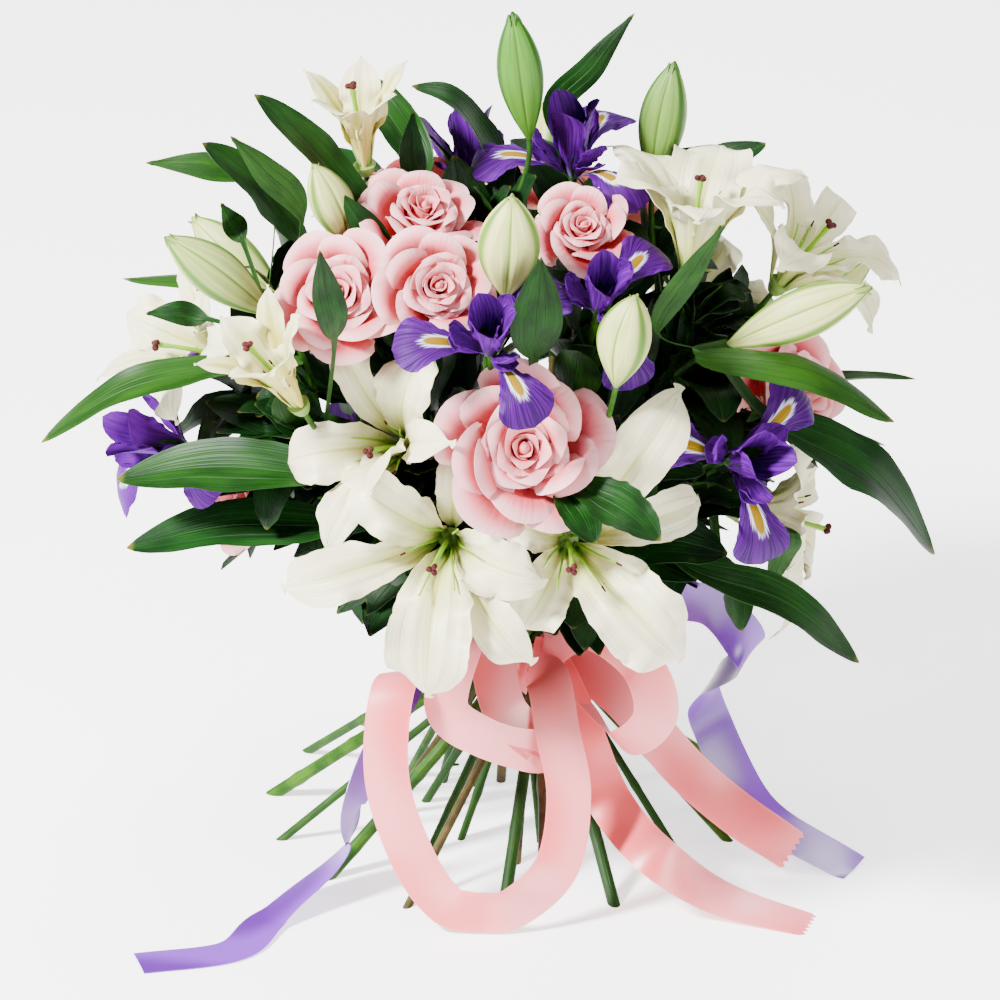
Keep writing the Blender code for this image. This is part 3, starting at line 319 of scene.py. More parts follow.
def bloom_frame(facing):
    """The way a bloom faces, the way up across it, and the way right as its viewer sees it."""
    axis = unit(facing)
    up = np.array((0.0, 0.0, 1.0)) - axis[2] * axis
    if np.linalg.norm(up) < 0.15:
        up = np.array((0.0, 1.0, 0.0)) - axis[1] * axis
    up = unit(up)
    return axis, up, np.cross(up, axis)


def spoke(turn, up, right):
    """The way out from an axis, at a turn round it from up to right."""
    return math.cos(turn) * up + math.sin(turn) * right


def ahead_of(path):
    """The way ahead at each point of a path."""
    ahead = np.gradient(path, axis=0)
    return ahead / np.linalg.norm(ahead, axis=1)[:, None]


def running(steps):
    """How far each point lies from the first, given the steps between them."""
    return np.concatenate(([0], np.cumsum(steps)))


def evenly(path, count):
    """Points at even steps along a path, and how far along it they and its own points lie."""
    reach = running(np.linalg.norm(np.diff(path, axis=0), axis=1))
    even = np.linspace(0, reach[-1], count)
    return np.stack([np.interp(even, reach, path[:, k]) for k in range(3)], axis=1), even, reach


def bezier(a, b, c, d, t):
    t = np.asarray(t)[:, None]
    s = 1 - t
    return s**3 * a + 3 * s**2 * t * b + 3 * s * t**2 * c + t**3 * d


def smooth(points, steps):
    """A smooth curve through points, with the given number of steps between each two."""
    p = np.asarray(points, float)
    p = np.vstack((2 * p[0] - p[1], p, 2 * p[-1] - p[-2]))
    t = np.linspace(0, 1, steps, endpoint=False)[:, None]
    runs = [
        0.5 * (2 * b + (c - a) * t + (2 * a - 5 * b + 4 * c - d) * t**2 + (3 * b - a - 3 * c + d) * t**3)
        for a, b, c, d in zip(p, p[1:], p[2:], p[3:])
    ]
    return np.vstack(runs + [p[-2:-1]])


def half_width(outline, u):
    """Half the width of a blade at a place along it, as a share of the widest."""
    form = OUTLINES[outline]
    swell, taper, root = form["swell"], form["taper"], form["root"]
    widest = min(max((swell - taper * root / (1 - root)) / (swell + taper), 0.0), 1.0)
    full, here = ((root + (1 - root) * t) ** swell * max(1 - t, 0.0) ** taper for t in (widest, u))
    return here / full


def blade(outline, spine, ahead, inner, width, rows=None, columns=None, phase=0.0, stalk=0.0):
    """Grid points of a blade about its spine, which is sampled evenly from root to tip."""
    form = OUTLINES[outline]
    rows, columns = rows or form["rows"], columns or form["columns"]
    even = np.linspace(0, 1, len(spine))
    side_of = np.cross(ahead, inner)
    foot = max(1, rows // 4) if stalk else 0
    stations = [*np.linspace(0, stalk, foot, endpoint=False), *np.linspace(stalk, 1, rows - foot + 1)]
    grid = np.zeros((rows + 1, columns + 1, 3))
    for i, station in enumerate(stations):
        for j in range(columns + 1):
            v = 2 * j / columns - 1
            u = station * (1 - form["top"] * v * v)
            middle, side, rise = (np.array([np.interp(u, even, part[:, k]) for k in range(3)])
                                  for part in (spine, side_of, inner))
            t = max(0.0, u - stalk) / (1 - stalk)
            half = width / 2 * half_width(outline, t)
            cup = math.radians(np.interp(t, (0, 0.5), form["cup"]))
            across = half * math.sin(cup * v) / cup
            lift = half * (1 - math.cos(cup * v)) / cup + half * v * math.sin(math.radians(form["skew"]))
            lift += 2 * half * form["ruffle"] * v * abs(v) * math.sin(5 * math.pi * t + phase)
            grid[i, j] = middle + side * across + rise * lift
    return grid


def swirl(flower, radius, turns=1.75, rows=None, columns=None):
    """The petals wound round a rose's heart, as one sheet that winds outwards and leans open."""
    base, axis, up, right = flower
    rows, columns = rows or 10, columns or 1
    grid = np.zeros((rows + 1, columns + 1, 3))
    for i in range(rows + 1):
        wound = i / rows
        turn = 2 * math.pi * turns * wound
        out = spoke(turn, up, right)
        for j in range(columns + 1):
            height = j / columns
            away = radius * (0.05 + 0.15 * wound + height * (0.06 + 0.20 * wound))
            grid[i, j] = base + out * away + axis * radius * (0.18 + height * (0.78 - 0.10 * wound))
    return grid


def arched(outline, flower, clock, length, bends, width, rows=None, columns=None, foot=2.5, sway=0.0):
    """A petal rooted on a flower's axis, whose lean from the axis runs through the bends in degrees."""
    base, axis, up, right = flower
    out = spoke(math.radians(clock), up, right)
    side = np.cross(axis, out)
    lean = np.radians(np.interp(np.linspace(0, 1, 33), np.linspace(0, 1, len(bends)), bends))
    middle = (lean[1:] + lean[:-1]) / 2
    step = length / 32
    away = foot + running(np.sin(middle) * step)
    along = running(np.cos(middle) * step)
    drift = sway * length * np.linspace(0, 1, 33) ** 2
    spine = base + away[:, None] * out + (ROOT + along)[:, None] * axis + drift[:, None] * side
    ahead = np.sin(lean)[:, None] * out + np.cos(lean)[:, None] * axis
    inner = np.cos(lean)[:, None] * -out + np.sin(lean)[:, None] * axis
    return blade(outline, spine, ahead, inner, width, rows, columns, phase=math.radians(3 * clock))


def leaf(root, start, tip, width, lift, rows=None, columns=None):
    """A leaf whose narrow foot runs from its stem to the start of the blade, then arches to the tip."""
    face = unit(unit((start + tip) / 2 - np.array((0, 0, 200.0))) + np.array((0, 0, 0.9)))
    middle = (start + tip) / 2 + face * lift
    spine, _, reach = evenly(smooth((root, start, middle, tip), 8), 33)
    stalk = reach[8] / reach[-1]
    ahead = ahead_of(spine)
    inner = face - (ahead @ face)[:, None] * ahead
    inner /= np.linalg.norm(inner, axis=1)[:, None]
    return blade("leaf", spine, ahead, inner, width, rows, columns, phase=float(tip[0]), stalk=stalk)


def strip(points, steps=2, columns=1):
    """Grid points of a ribbon through points, each with the way that its width lies there."""
    spine = smooth([p for p, _ in points], steps)
    lie = smooth([unit(w) for _, w in points], steps)
    ahead = ahead_of(spine)
    lie -= (lie * ahead).sum(axis=1)[:, None] * ahead
    lie /= np.linalg.norm(lie, axis=1)[:, None]
    spread = np.clip(np.linspace(0, len(points) - 1, len(spine)) / 1.6, 0, 1)
    half = RIBBON_WIDTH / 2 * (PINCH + (1 - PINCH) * spread * spread * (3 - 2 * spread))
    across = np.linspace(-1, 1, columns + 1)
    return spine[:, None] + (half[:, None] * across)[:, :, None] * lie[:, None]


def placed(name, data, place=(0.0, 0.0, 0.0)):
    """An object in the scene, with its data, at a place."""
    thing = bpy.data.objects.new(name, data)
    bpy.context.scene.collection.objects.link(thing)
    thing.location = place
    return thing


# Closed solids, as bmeshes in millimetres

def outward(bm):
    """Turns every face of a closed solid outwards."""
    bm.normal_update()
    bmesh.ops.recalc_face_normals(bm, faces=bm.faces)
    if bm.calc_volume(signed=True) < 0:
        bmesh.ops.reverse_faces(bm, faces=bm.faces)
    return bm


def sheet(points, thickness, clear=0.0):
    """A closed thin solid about a grid of points, split into triangles alike on both faces."""
    rows, columns = points.shape[0] - 1, points.shape[1] - 1
    bm = bmesh.new()
    bmesh.ops.create_grid(bm, x_segments=columns, y_segments=rows, size=0.5)
    for vert in bm.verts:
        i, j = round((vert.co.y + 0.5) * rows), round((vert.co.x + 0.5) * columns)
        vert.co = points[i, j]
    bmesh.ops.remove_doubles(bm, verts=bm.verts, dist=0.05)
    bmesh.ops.triangulate(bm, faces=bm.faces)
    bm.normal_update()
    for vert in bm.verts:
        vert.co += vert.normal * (thickness / 2 + clear)
    bmesh.ops.solidify(bm, geom=bm.faces[:], thickness=thickness + 2 * clear)
    return outward(bm)


def egg(base, axis, length, width, belly=0.5, lobes=0.0, sides=6, rings=5):
    """A closed egg from its base along an axis, widest at the belly, round or with three lobes."""
    bm = bmesh.new()
    bmesh.ops.create_uvsphere(bm, u_segments=sides, v_segments=rings, radius=1.0)
    axis, up, right = bloom_frame(axis)
    power = math.log(0.5) / math.log(belly)
    for vert in bm.verts:
        t = min(max((vert.co.z + 1) / 2, 0.0), 1.0)
        turn = math.atan2(vert.co.y, vert.co.x)
        away = spoke(turn, up, right)
        radius = width / 2 * abs(math.sin(math.pi * t**power)) ** 0.75 * (1 + lobes * math.cos(3 * turn))
        vert.co = np.asarray(base) + axis * length * t + radius * away
    return outward(bm)


def cone(base, axis, length, low, high, sides=6, clock=0.0):
    """A closed blunt cone along an axis, with the middle of a face at a clock angle in degrees."""
    bm = bmesh.new()
    bmesh.ops.create_cone(bm, cap_ends=True, segments=sides, radius1=low, radius2=high, depth=length)
    axis, up, right = bloom_frame(axis)
    turn = Matrix.Rotation(math.radians(180 / sides - clock), 3, "Z")
    turn = Matrix((right, up, axis)).transposed() @ turn
    middle = Vector(np.asarray(base) + axis * length / 2)
    bmesh.ops.transform(bm, matrix=Matrix.Translation(middle) @ turn.to_4x4(), verts=bm.verts)
    return bm


def tube(path, radius, clear=0.0, resolution=1):
    """A closed round rod along a path, made as a bevelled curve and then a mesh."""
    data = bpy.data.curves.new("rod", "CURVE")
    data.dimensions = "3D"
    data.bevel_depth = radius + clear
    data.bevel_resolution = resolution
    data.use_fill_caps = True
    spline = data.splines.new("POLY")
    spline.points.add(len(path) - 1)
    for point, place in zip(spline.points, path):
        point.co = (*place, 1)
    rod = placed("rod", data)
    mesh = bpy.data.meshes.new_from_object(rod.evaluated_get(bpy.context.evaluated_depsgraph_get()))
    bm = bmesh.new()
    bm.from_mesh(mesh)
    bmesh.ops.remove_doubles(bm, verts=bm.verts, dist=0.01)
    outward(bm)
    bpy.data.objects.remove(rod)
    bpy.data.curves.remove(data)
    bpy.data.meshes.remove(mesh)
    return bm


def cut_level(bm):
    """Cuts a stem's foot off level with the floor."""
    geom = bm.verts[:] + bm.edges[:] + bm.faces[:]
    bmesh.ops.bisect_plane(bm, geom=geom, plane_co=(0, 0, 0), plane_no=(0, 0, -1), clear_outer=True)
    bmesh.ops.holes_fill(bm, edges=bm.edges, sides=0)
    return outward(bm)


class Room:
    """What is placed so far, by node, so that the next piece can be bent clear of it."""

    def __init__(self):
        self.nodes, self.trees, self.low, self.high = [], [], [], []

    def add(self, node, bm):
        corners = np.array([v.co for v in bm.verts])
        self.nodes.append(node)
        self.trees.append(BVHTree.FromBMesh(bm))
        self.low.append(corners.min(axis=0))
        self.high.append(corners.max(axis=0))

    def is_free(self, node, bm):
        """Whether a solid of a node touches nothing of the others, and none but a stem the floor."""
        corners = np.array([v.co for v in bm.verts])
        if corners[:, 2].min() < 0 and "stem" not in node:
            return False
        if not self.nodes:
            return True
        near = np.all(np.array(self.low) < corners.max(axis=0), axis=1)
        near &= np.all(np.array(self.high) > corners.min(axis=0), axis=1)
        tree = BVHTree.FromBMesh(bm)
        return not any(
            self.nodes[i] != node and tree.overlap(self.trees[i]) for i in np.flatnonzero(near))


# Layout: where every piece goes, each bent clear of what is placed before it

def easing(spreads, turns, cuts):
    """How a petal may give way: opened by a share, turned in degrees and cut short, mildest first."""
    ways = [(s, t, c) for s in spreads for t in turns for c in cuts]
    return sorted(ways, key=lambda way: abs(1 - way[0]) + abs(way[1]) / 45 + (1 - way[2]) * 2.2)


PETAL_WAYS = easing(
    (1, 0.9, 1.1, 0.8, 0.68, 0.55, 0.42, 0.3, 1.25), (0, 7, -7, 14, -14, 22, -22), (1, 0.9, 0.8, 0.7))
LEAF_WAYS = easing(
    (1, 1.6, 0.3, -0.6), (0, 8, -8, 17, -17, 27, -27, 38, -38, 50, -50), (1, 0.88, 0.76, 0.64))
DRIFTS = np.random.default_rng(5).normal(size=(400, 10, 3)) * np.linspace(0, 20, 400)[:, None, None]
NUDGES = np.random.default_rng(3).normal(size=(260, 2, 3)) * np.linspace(0, 30, 260)[:, None, None]


class Bouquet:
    """Every node's blades and stems, as functions that make them, in the room that they share."""

    def __init__(self):
        self.room = Room()
        self.flowers = {}
        self.blades = []
        self.tubes = []
        self.paths = {}
        self.rng = np.random.default_rng(7)

    def fit_blade(self, node, make, ways, thickness, tag):
        """Keeps the first way of a blade that is clear of every other node."""
        for way in ways:
            trial = sheet(make(way), thickness, CLEAR)
            free = self.room.is_free(node, trial)
            trial.free()
            if free:
                self.blades.append((node, tag, lambda rows, columns, w=way: make(w, rows, columns)))
                self.room.add(node, sheet(make(way), thickness))
                return

    def fit_tube(self, node, make, radius, level=False):
        """Keeps the first way of a stem that is clear of every other node."""
        for nudge in NUDGES:
            path = make(nudge)
            trial = tube(path, radius, REST - 0.02, int(level))
            free = self.room.is_free(node, trial)
            trial.free()
            if free:
                break
        solid = tube(path, radius, 0.0, int(level))
        if level:
            cut_level(solid)
        self.room.add(node, solid)
        self.paths.setdefault(node, []).append(path)
        self.tubes.append((node, lambda steps, n=nudge: make(n, steps), radius, level))


def ring_slots(stems):
    """Places stems round the tie, as radius and azimuth, in the order in which their blooms lie."""
    order = sorted(stems, key=lambda name: stems[name][0])
    thick = np.array([stems[name][1] + CLEAR for name in order])
    share = (np.cumsum(thick) - thick / 2) / thick.sum() * 2 * math.pi
    azimuths = np.array([stems[name][0] for name in order])
    offsets = np.linspace(0, 2 * math.pi, 90, endpoint=False)
    ahead = share + math.radians(SPIRAL) - azimuths
    misfit = [(np.angle(np.exp(1j * (ahead + offset))) ** 2).sum() for offset in offsets]
    share = share + offsets[int(np.argmin(misfit))]
    return {name: (OUTER_RING + LILY_STEM - stems[name][1], a) for name, a in zip(order, share)}


def at_tie(slot, lean):
    """Where a stem crosses the tie's middle, and the way that it runs there."""
    radius, turn = slot
    lean = math.radians(lean)
    slope = np.array((-math.sin(turn) * math.sin(lean), math.cos(turn) * math.sin(lean), math.cos(lean)))
    return np.array((radius * math.cos(turn), radius * math.sin(turn), TIE_HEIGHT)), slope


def settle(turn, thick, others):
    """The slot of an inner stem, moved outwards until it rests on the stems that are there."""
    run = np.linspace(-30, 14, 45)[:, None]
    resting = 0.0
    for radius in np.arange(0, OUTER_RING, 0.05):
        place, slope = at_tie((radius, turn), INNER_LEAN)
        line = place + slope * run
        for slot, lean, other in others:
            middle, way = at_tie(slot, lean)
            gaps = np.linalg.norm(line[:, None] - (middle + way * run)[None], axis=2)
            if gaps.min() < thick + other + REST:
                return resting, turn
        resting = radius
    return resting, turn


def stem_path(slot, lean, end, facing, nudge, steps=3):
    """A stem from its foot, straight through its slot in the tie, and curved to its end."""
    tie, slope = at_tie(slot, lean)
    foot = tie - slope * (TIE_HEIGHT + 6) / slope[2]
    above = tie + slope * 14
    span = np.linalg.norm(end - above)
    handles = above + slope * span * 0.34 + nudge[0], end - unit(facing) * span * 0.24 + nudge[1]
    return np.vstack((foot, bezier(above, *handles, end, np.linspace(0, 1, steps + 1))))


def stalk_path(fork, end, facing, nudge, steps=3):
    """A flower stalk from the fork of its stem to a bloom or a bud."""
    span = np.linalg.norm(end - fork)
    ahead = unit(fork - np.array((0, 0, TIE_HEIGHT - 30)))
    handles = fork + ahead * span * 0.3 + nudge[0] / 2, end - unit(facing) * span * 0.34 + nudge[1] / 2
    return bezier(fork - ahead * 3, *handles, end, np.linspace(0, 1, steps + 1))


def rose_clock(name):
    """The clock angle of a rose's first petal, which differs from rose to rose."""
    return 47 * list(ROSES).index(name) % 72


def plan_flowers(bouquet):
    """Each bloom's frame: root, facing, up and right; the hearts keep their room from here on."""
    for name, (face, facing, length, _, first) in LILIES.items():
        axis, up, right = bloom_frame(facing)
        base = np.asarray(face, float) - axis * length * 0.39
        bouquet.flowers[name] = base, axis, up, right
        bouquet.room.add(name, cone(base, axis, 0.12 * length, 5.0, 8.0, clock=first))
        bouquet.room.add(name, egg(base, axis, length * 0.42, 20, belly=0.6))
    for name, (face, facing, radius) in ROSES.items():
        axis, up, right = bloom_frame(facing)
        base = np.asarray(face, float) - axis * radius * 0.78
        bouquet.flowers[name] = base, axis, up, right
        bouquet.room.add(name, cone(base, axis, 0.22 * radius, 4.0, 0.30 * radius, 5, rose_clock(name)))
        bouquet.room.add(name, egg(base + axis * 2, axis, 0.9 * radius, 0.95 * radius, belly=0.55))
    for name, (face, facing, size, first) in IRISES.items():
        axis, up, right = bloom_frame(facing)
        base = np.asarray(face, float) - axis * 0.43 * size
        bouquet.flowers[name] = base, axis, up, right
        bouquet.room.add(name, cone(base, axis, 0.18 * size, 3.6, 5.5, clock=first))
        bouquet.room.add(name, egg(base, axis, 0.5 * size, 0.27 * size, belly=0.6))


def plan_buds(bouquet):
    """Keeps room for the buds, which are eggs with three lobes."""
    for stem, (_, _, buds) in LILY_STEMS.items():
        for root, tip, width in buds:
            reach = np.subtract(tip, root)
            bouquet.room.add(stem, egg(root, reach, np.linalg.norm(reach), width, 0.56, lobes=0.08))


def plan_stem(bouquet, name, slot, lean, end, facing, radius):
    bouquet.fit_tube(name, lambda *bend: stem_path(slot, lean, end, facing, *bend), radius, level=True)


def plan_stalk(bouquet, stem, fork, end, facing):
    bouquet.fit_tube(stem, lambda *bend: stalk_path(fork, end, facing, *bend), PEDICEL)


def plan_stems(bouquet):
    """Stems from their feet through the tie to the blooms, and the lilies' flower stalks."""
    ends = {}
    for name, (base, axis, _, _) in bouquet.flowers.items():
        if name.startswith(("rose", "iris")):
            radius = ROSE_STEM if name in ROSES else IRIS_STEM
            ends[name + "_stem"] = (base - axis * SEAT, axis, radius)
    for name, (fork, _, _) in LILY_STEMS.items():
        fork = np.asarray(fork, float)
        ends[name] = (fork, unit(fork - np.array((0, 0, TIE_HEIGHT - 30))), LILY_STEM)
    lean_of = {name: math.hypot(*end[:2]) / (end[2] - TIE_HEIGHT) for name, (end, _, _) in ends.items()}
    slim = sorted((name for name in ends if ends[name][2] < LILY_STEM), key=lean_of.get)
    inner = slim[:INNER_STEMS]
    rings = {name: (math.atan2(end[1], end[0]), radius) for name, (end, _, radius) in ends.items()}
    slots = ring_slots({name: ring for name, ring in rings.items() if name not in inner})
    placed = [(slot, OUTER_LEAN, ends[name][2]) for name, slot in slots.items()]
    spread = ring_slots({name: rings[name] for name in inner})
    for name in inner:
        slots[name] = settle(spread[name][1], ends[name][2], placed)
        placed.append((slots[name], INNER_LEAN, ends[name][2]))
    for name in [*inner, *(name for name in ends if name not in inner)]:
        plan_stem(bouquet, name, slots[name], INNER_LEAN if name in inner else OUTER_LEAN, *ends[name])
    for stem, (fork, blooms, buds) in LILY_STEMS.items():
        fork = np.asarray(fork, float)
        goals = [(base - axis * SEAT, axis) for base, axis, _, _ in map(bouquet.flowers.get, blooms)]
        goals += [(np.asarray(root, float) + unit(np.subtract(tip, root)) * 5, np.subtract(tip, root))
                  for root, tip, _ in buds]
        for goal, facing in goals:
            plan_stalk(bouquet, stem, fork, goal, facing)


def plan_petals(bouquet):
    """Petals, the foremost blooms first, so that the ones behind give way to them."""
    names = sorted(bouquet.flowers, key=lambda name: bouquet.flowers[name][0][1] - 40 * (name in POSED))
    for name in names:
        if name in ROSES:
            plan_rose(bouquet, name)
    for name in names:
        if name in LILIES:
            plan_lily(bouquet, name)
        elif name in IRISES:
            plan_iris(bouquet, name)


def petal(bouquet, name, kind, clock, size, spread=1.0, slim=1.0):
    """Adds a petal of a bloom at a clock angle in degrees, opened and slimmed by a share."""
    outline, bends, length, width, foot = PETALS[kind]
    coarse = OUTLINES[outline]["rows"] - (outline == "tepal" and size < LONG_TEPAL)
    clock += bouquet.rng.uniform(-4, 4)
    sway = bouquet.rng.uniform(-0.05, 0.05)

    def make(way, rows=None, columns=None):
        opened, turn, cut = way
        leans = [bend * spread * opened for bend in bends]
        wide = size * width * slim * (0.5 + cut / 2)
        return arched(
            outline, bouquet.flowers[name], clock + turn, size * length * cut, leans, wide,
            rows or coarse, columns, size * foot, sway,
        )

    bouquet.fit_blade(name, make, PETAL_WAYS, PETAL, kind)


def plan_lily(bouquet, name):
    _, _, length, opening, first = LILIES[name]
    evenly = [(first + 60 * k, length * (1.0 if k % 2 else 0.97), opening) for k in range(6)]
    slim = HALF_OPEN if opening < 0.5 else 1.0
    for k, (clock, reach, spread) in enumerate(POSED.get(name, evenly)):
        petal(bouquet, name, "outer tepal" if k % 2 else "inner tepal", clock, reach, spread, slim)


def plan_rose(bouquet, name):
    radius = ROSES[name][2]

    def heart(_, rows=None, columns=None):
        return swirl(bouquet.flowers[name], radius, rows=rows, columns=columns)

    bouquet.fit_blade(name, heart, PETAL_WAYS[:1], PETAL, "swirl")
    for kind, count in (("inner petal", 3 if radius > FULL_ROSE else 0), ("outer petal", 5)):
        for k in range(count):
            petal(bouquet, name, kind, rose_clock(name) + 360 * k / count, radius)


def plan_iris(bouquet, name):
    _, _, size, first = IRISES[name]
    for k in range(3):
        petal(bouquet, name, "fall", first + 120 * k, size)
    for k in range(3):
        petal(bouquet, name, "standard", first + 60 + 120 * k, size)


def plan_leaf(bouquet, number, stem, start, tip, width, lift):
    """Grows a leaf from the nearest free place on its stem."""
    start, tip = np.asarray(start, float), np.asarray(tip, float)
    points = np.vstack([smooth(path, 5) for path in bouquet.paths[stem]])
    points = points[points[:, 2] > TIE_HEIGHT + 25]
    roots = points[np.argsort(np.linalg.norm(points - start, axis=1))[:24:6]]
    coarse = 4 if np.linalg.norm(tip - start) > LONG_LEAF else 3

    def make(way, rows=None, columns=None):
        bend, shift, cut, root = way
        move = np.array(SIGHT) * shift
        end = start + (tip - start) * cut + move
        wide = width * (0.6 + 0.4 * cut)
        return leaf(roots[root], start + move, end, wide, lift * bend, rows or coarse, columns)

    ways = [(*way, root) for way in LEAF_WAYS for root in range(len(roots))]
    bouquet.fit_blade(stem, make, ways, LEAF, f"leaf {number}")


def plan_ribbon(bouquet, name, turn, height, path):
    """Hangs a ribbon, gathered at the tie and drifting clear of what hangs there already."""
    turn = math.radians(turn)
    away = np.array((math.cos(turn), math.sin(turn), 0.0))
    start = away * (TIE_RADIUS + SATIN / 2 + CLEAR + 0.02) + (0, 0, height)
    around = np.array((-away[1], away[0], 0.0)) * (1 if path[0][0][0] > start[0] else -1)
    points = [(start, (0, 0, 1)), *path]
    last = len(points) - 1
    free = [math.sin(math.pi / 2 * min(k / 2, 1, (last - k) / 2)) for k in range(last + 1)]

    def make(drift, rows=None, columns=None):
        moved = [(place + drift[k] * free[k], lie) for k, (place, lie) in enumerate(points)]
        moved.insert(1, (start + away * 5 + around * 6, (0, 0, 1)))
        grid = strip(moved, rows or 2, columns or 1)
        grid[:, :, 2] = np.maximum(grid[:, :, 2], SATIN / 2 + CLEAR + 0.05)
        return grid

    bouquet.fit_blade(name, make, DRIFTS, SATIN, "ribbon")


def tie_solid():
    """The ribbon wound round the stems: a band that follows their waist."""
    bm = bmesh.new()
    heights = np.linspace(-TIE_HALF, TIE_HALF, 3)
    waist = np.hypot(OUTER_RING, heights * math.tan(math.radians(OUTER_LEAN))) + LILY_STEM + REST
    waist /= math.cos(math.pi / TIE_SIDES)
    profile = [(r, 0.0, TIE_HEIGHT + h) for r, h in zip(waist, heights)]
    profile += [(TIE_RADIUS, 0.0, TIE_HEIGHT + h) for h in (TIE_HALF, -TIE_HALF)]
    ring = [bm.verts.new(p) for p in profile]
    edges = [bm.edges.new((a, b)) for a, b in zip(ring, ring[1:] + ring[:1])]
    bmesh.ops.spin(
        bm, geom=ring + edges, axis=(0, 0, 1), angle=2 * math.pi, steps=TIE_SIDES, use_merge=True)
    bmesh.ops.remove_doubles(bm, verts=bm.verts, dist=0.01)
    return outward(bm)


def plan():
    """The whole layout, in the order in which pieces take their room."""
    bouquet = Bouquet()
    plan_flowers(bouquet)
    plan_buds(bouquet)
    plan_stems(bouquet)
    bouquet.room.add("tie", tie_solid())
    plan_petals(bouquet)
    for name, (_, (turn, height), path) in RIBBONS.items():
        plan_ribbon(bouquet, name, turn, height, path)
    for number, row in enumerate(LEAVES):
        plan_leaf(bouquet, number, *row)
    return bouquet


# Materials

# Colours, as shares of red, green and blue
COLOURS = {
    "lily shade": (0.7, 0.66, 0.41), "lily ivory": (0.88, 0.85, 0.63), "lily vein": (0.64, 0.6, 0.32),
    "lily foot": (0.58, 0.58, 0.1), "lily middle": (0.6, 0.61, 0.19),
    "lily throat": (0.1, 0.27, 0.003), "lily rib": (0.44, 0.47, 0.08),
    "lily outside": (0.5, 0.58, 0.16), "half-open rib": (0.24, 0.36, 0.02),
    "half-open lily": (0.66, 0.57, 0.13), "lily speck": (0.16, 0.03, 0.03),
    # The rose's deeper coral at its feet and heart is partly painted shade in the cup.
    "rose depth dark": (0.6, 0.018, 0.03), "rose depth": (0.7, 0.045, 0.06),
    "rose blush dark": (0.78, 0.145, 0.185), "rose blush": (0.85, 0.24, 0.285),
    "rose heart": (0.74, 0.06, 0.068), "rose lip": (0.91, 0.57, 0.6), "rose cream": (0.86, 0.52, 0.4),
    "rose foot": (0.6, 0.64, 0.22), "rose worn": (0.5, 0.27, 0.13),
    "fall vein": (0.016, 0.0003, 0.045), "fall violet": (0.062, 0.0008, 0.14),
    "fall pale": (0.12, 0.005, 0.28), "fall edge": (0.105, 0.0035, 0.25),
    "signal rim": (0.66, 0.64, 0.82), "signal": (0.26, 0.145, 0.0),
    "fall foot": (0.34, 0.36, 0.3),
    "standard vein": (0.034, 0.0006, 0.09), "standard violet": (0.118, 0.0025, 0.27),
    "standard pale": (0.135, 0.0065, 0.31), "standard edge": (0.118, 0.0045, 0.28),
    "standard rib": (0.01, 0.0003, 0.04), "standard foot": (0.28, 0.24, 0.42),
    "leaf dark": (0.0016, 0.017, 0.0016), "leaf green": (0.0045, 0.04, 0.0035),
    "leaf pale dark": (0.014, 0.06, 0.004), "leaf pale": (0.03, 0.096, 0.006),
    "leaf vein": (0.0008, 0.012, 0.002), "leaf pale vein": (0.012, 0.05, 0.005),
    "leaf midrib": (0.02, 0.075, 0.008), "leaf foot": (0.03, 0.09, 0.007),
    "leaf tip": (0.16, 0.14, 0.015), "leaf in shade": (0.0008, 0.0065, 0.0014),
    "bud cream": (0.74, 0.7, 0.28), "bud green": (0.031, 0.185, 0.0002),
    "bud cream ridge": (0.08, 0.22, 0.003), "bud green ridge": (0.009, 0.066, 0.0012),
    "bud seam": (0.5, 0.62, 0.12),
    "stem dark": (0.011, 0.052, 0.003), "stem green": (0.042, 0.125, 0.005),
    "stem cool": (0.008, 0.036, 0.006),
    "bark dark": (0.045, 0.022, 0.008), "bark light": (0.1, 0.055, 0.02),
    "stem streak": (0.012, 0.04, 0.005),
    "flesh dark": (0.44, 0.5, 0.16), "flesh light": (0.62, 0.66, 0.32),
    "filament foot": (0.07, 0.24, 0.002), "filament end": (0.22, 0.46, 0.01),
    "filament fleck": (0.18, 0.4, 0.015),
    "stigma dark": (0.022, 0.002, 0.003), "stigma maroon": (0.085, 0.008, 0.01),
    # The satins' dark and light also paint their shade and sheen as long streaks.
    "pink satin dark": (0.78, 0.115, 0.125), "pink satin light": (0.9, 0.25, 0.275),
    "lilac satin dark": (0.1, 0.009, 0.25), "lilac satin light": (0.21, 0.04, 0.5),
    "floor shade": (0.93, 0.93, 0.92), "floor": (0.96, 0.96, 0.95), "white": (1.0, 1.0, 1.0),
}


class Number:
    """A value inside a material, which can be used in sums like a plain number."""

    def __init__(self, finish, socket):
        self.finish, self.socket = finish, socket

    def __add__(self, other):
        return self.finish.sum("ADD", self, other)

    def __sub__(self, other):
        return self.finish.sum("SUBTRACT", self, other)

    def __rsub__(self, other):
        return self.finish.sum("SUBTRACT", other, self)

    def __mul__(self, other):
        return self.finish.sum("MULTIPLY", self, other)

    def __truediv__(self, other):
        return self.finish.sum("DIVIDE", self, other)

    def __pow__(self, other):
        return self.finish.sum("POWER", self, other)

    def __abs__(self):
        return self.finish.sum("ABSOLUTE", self)


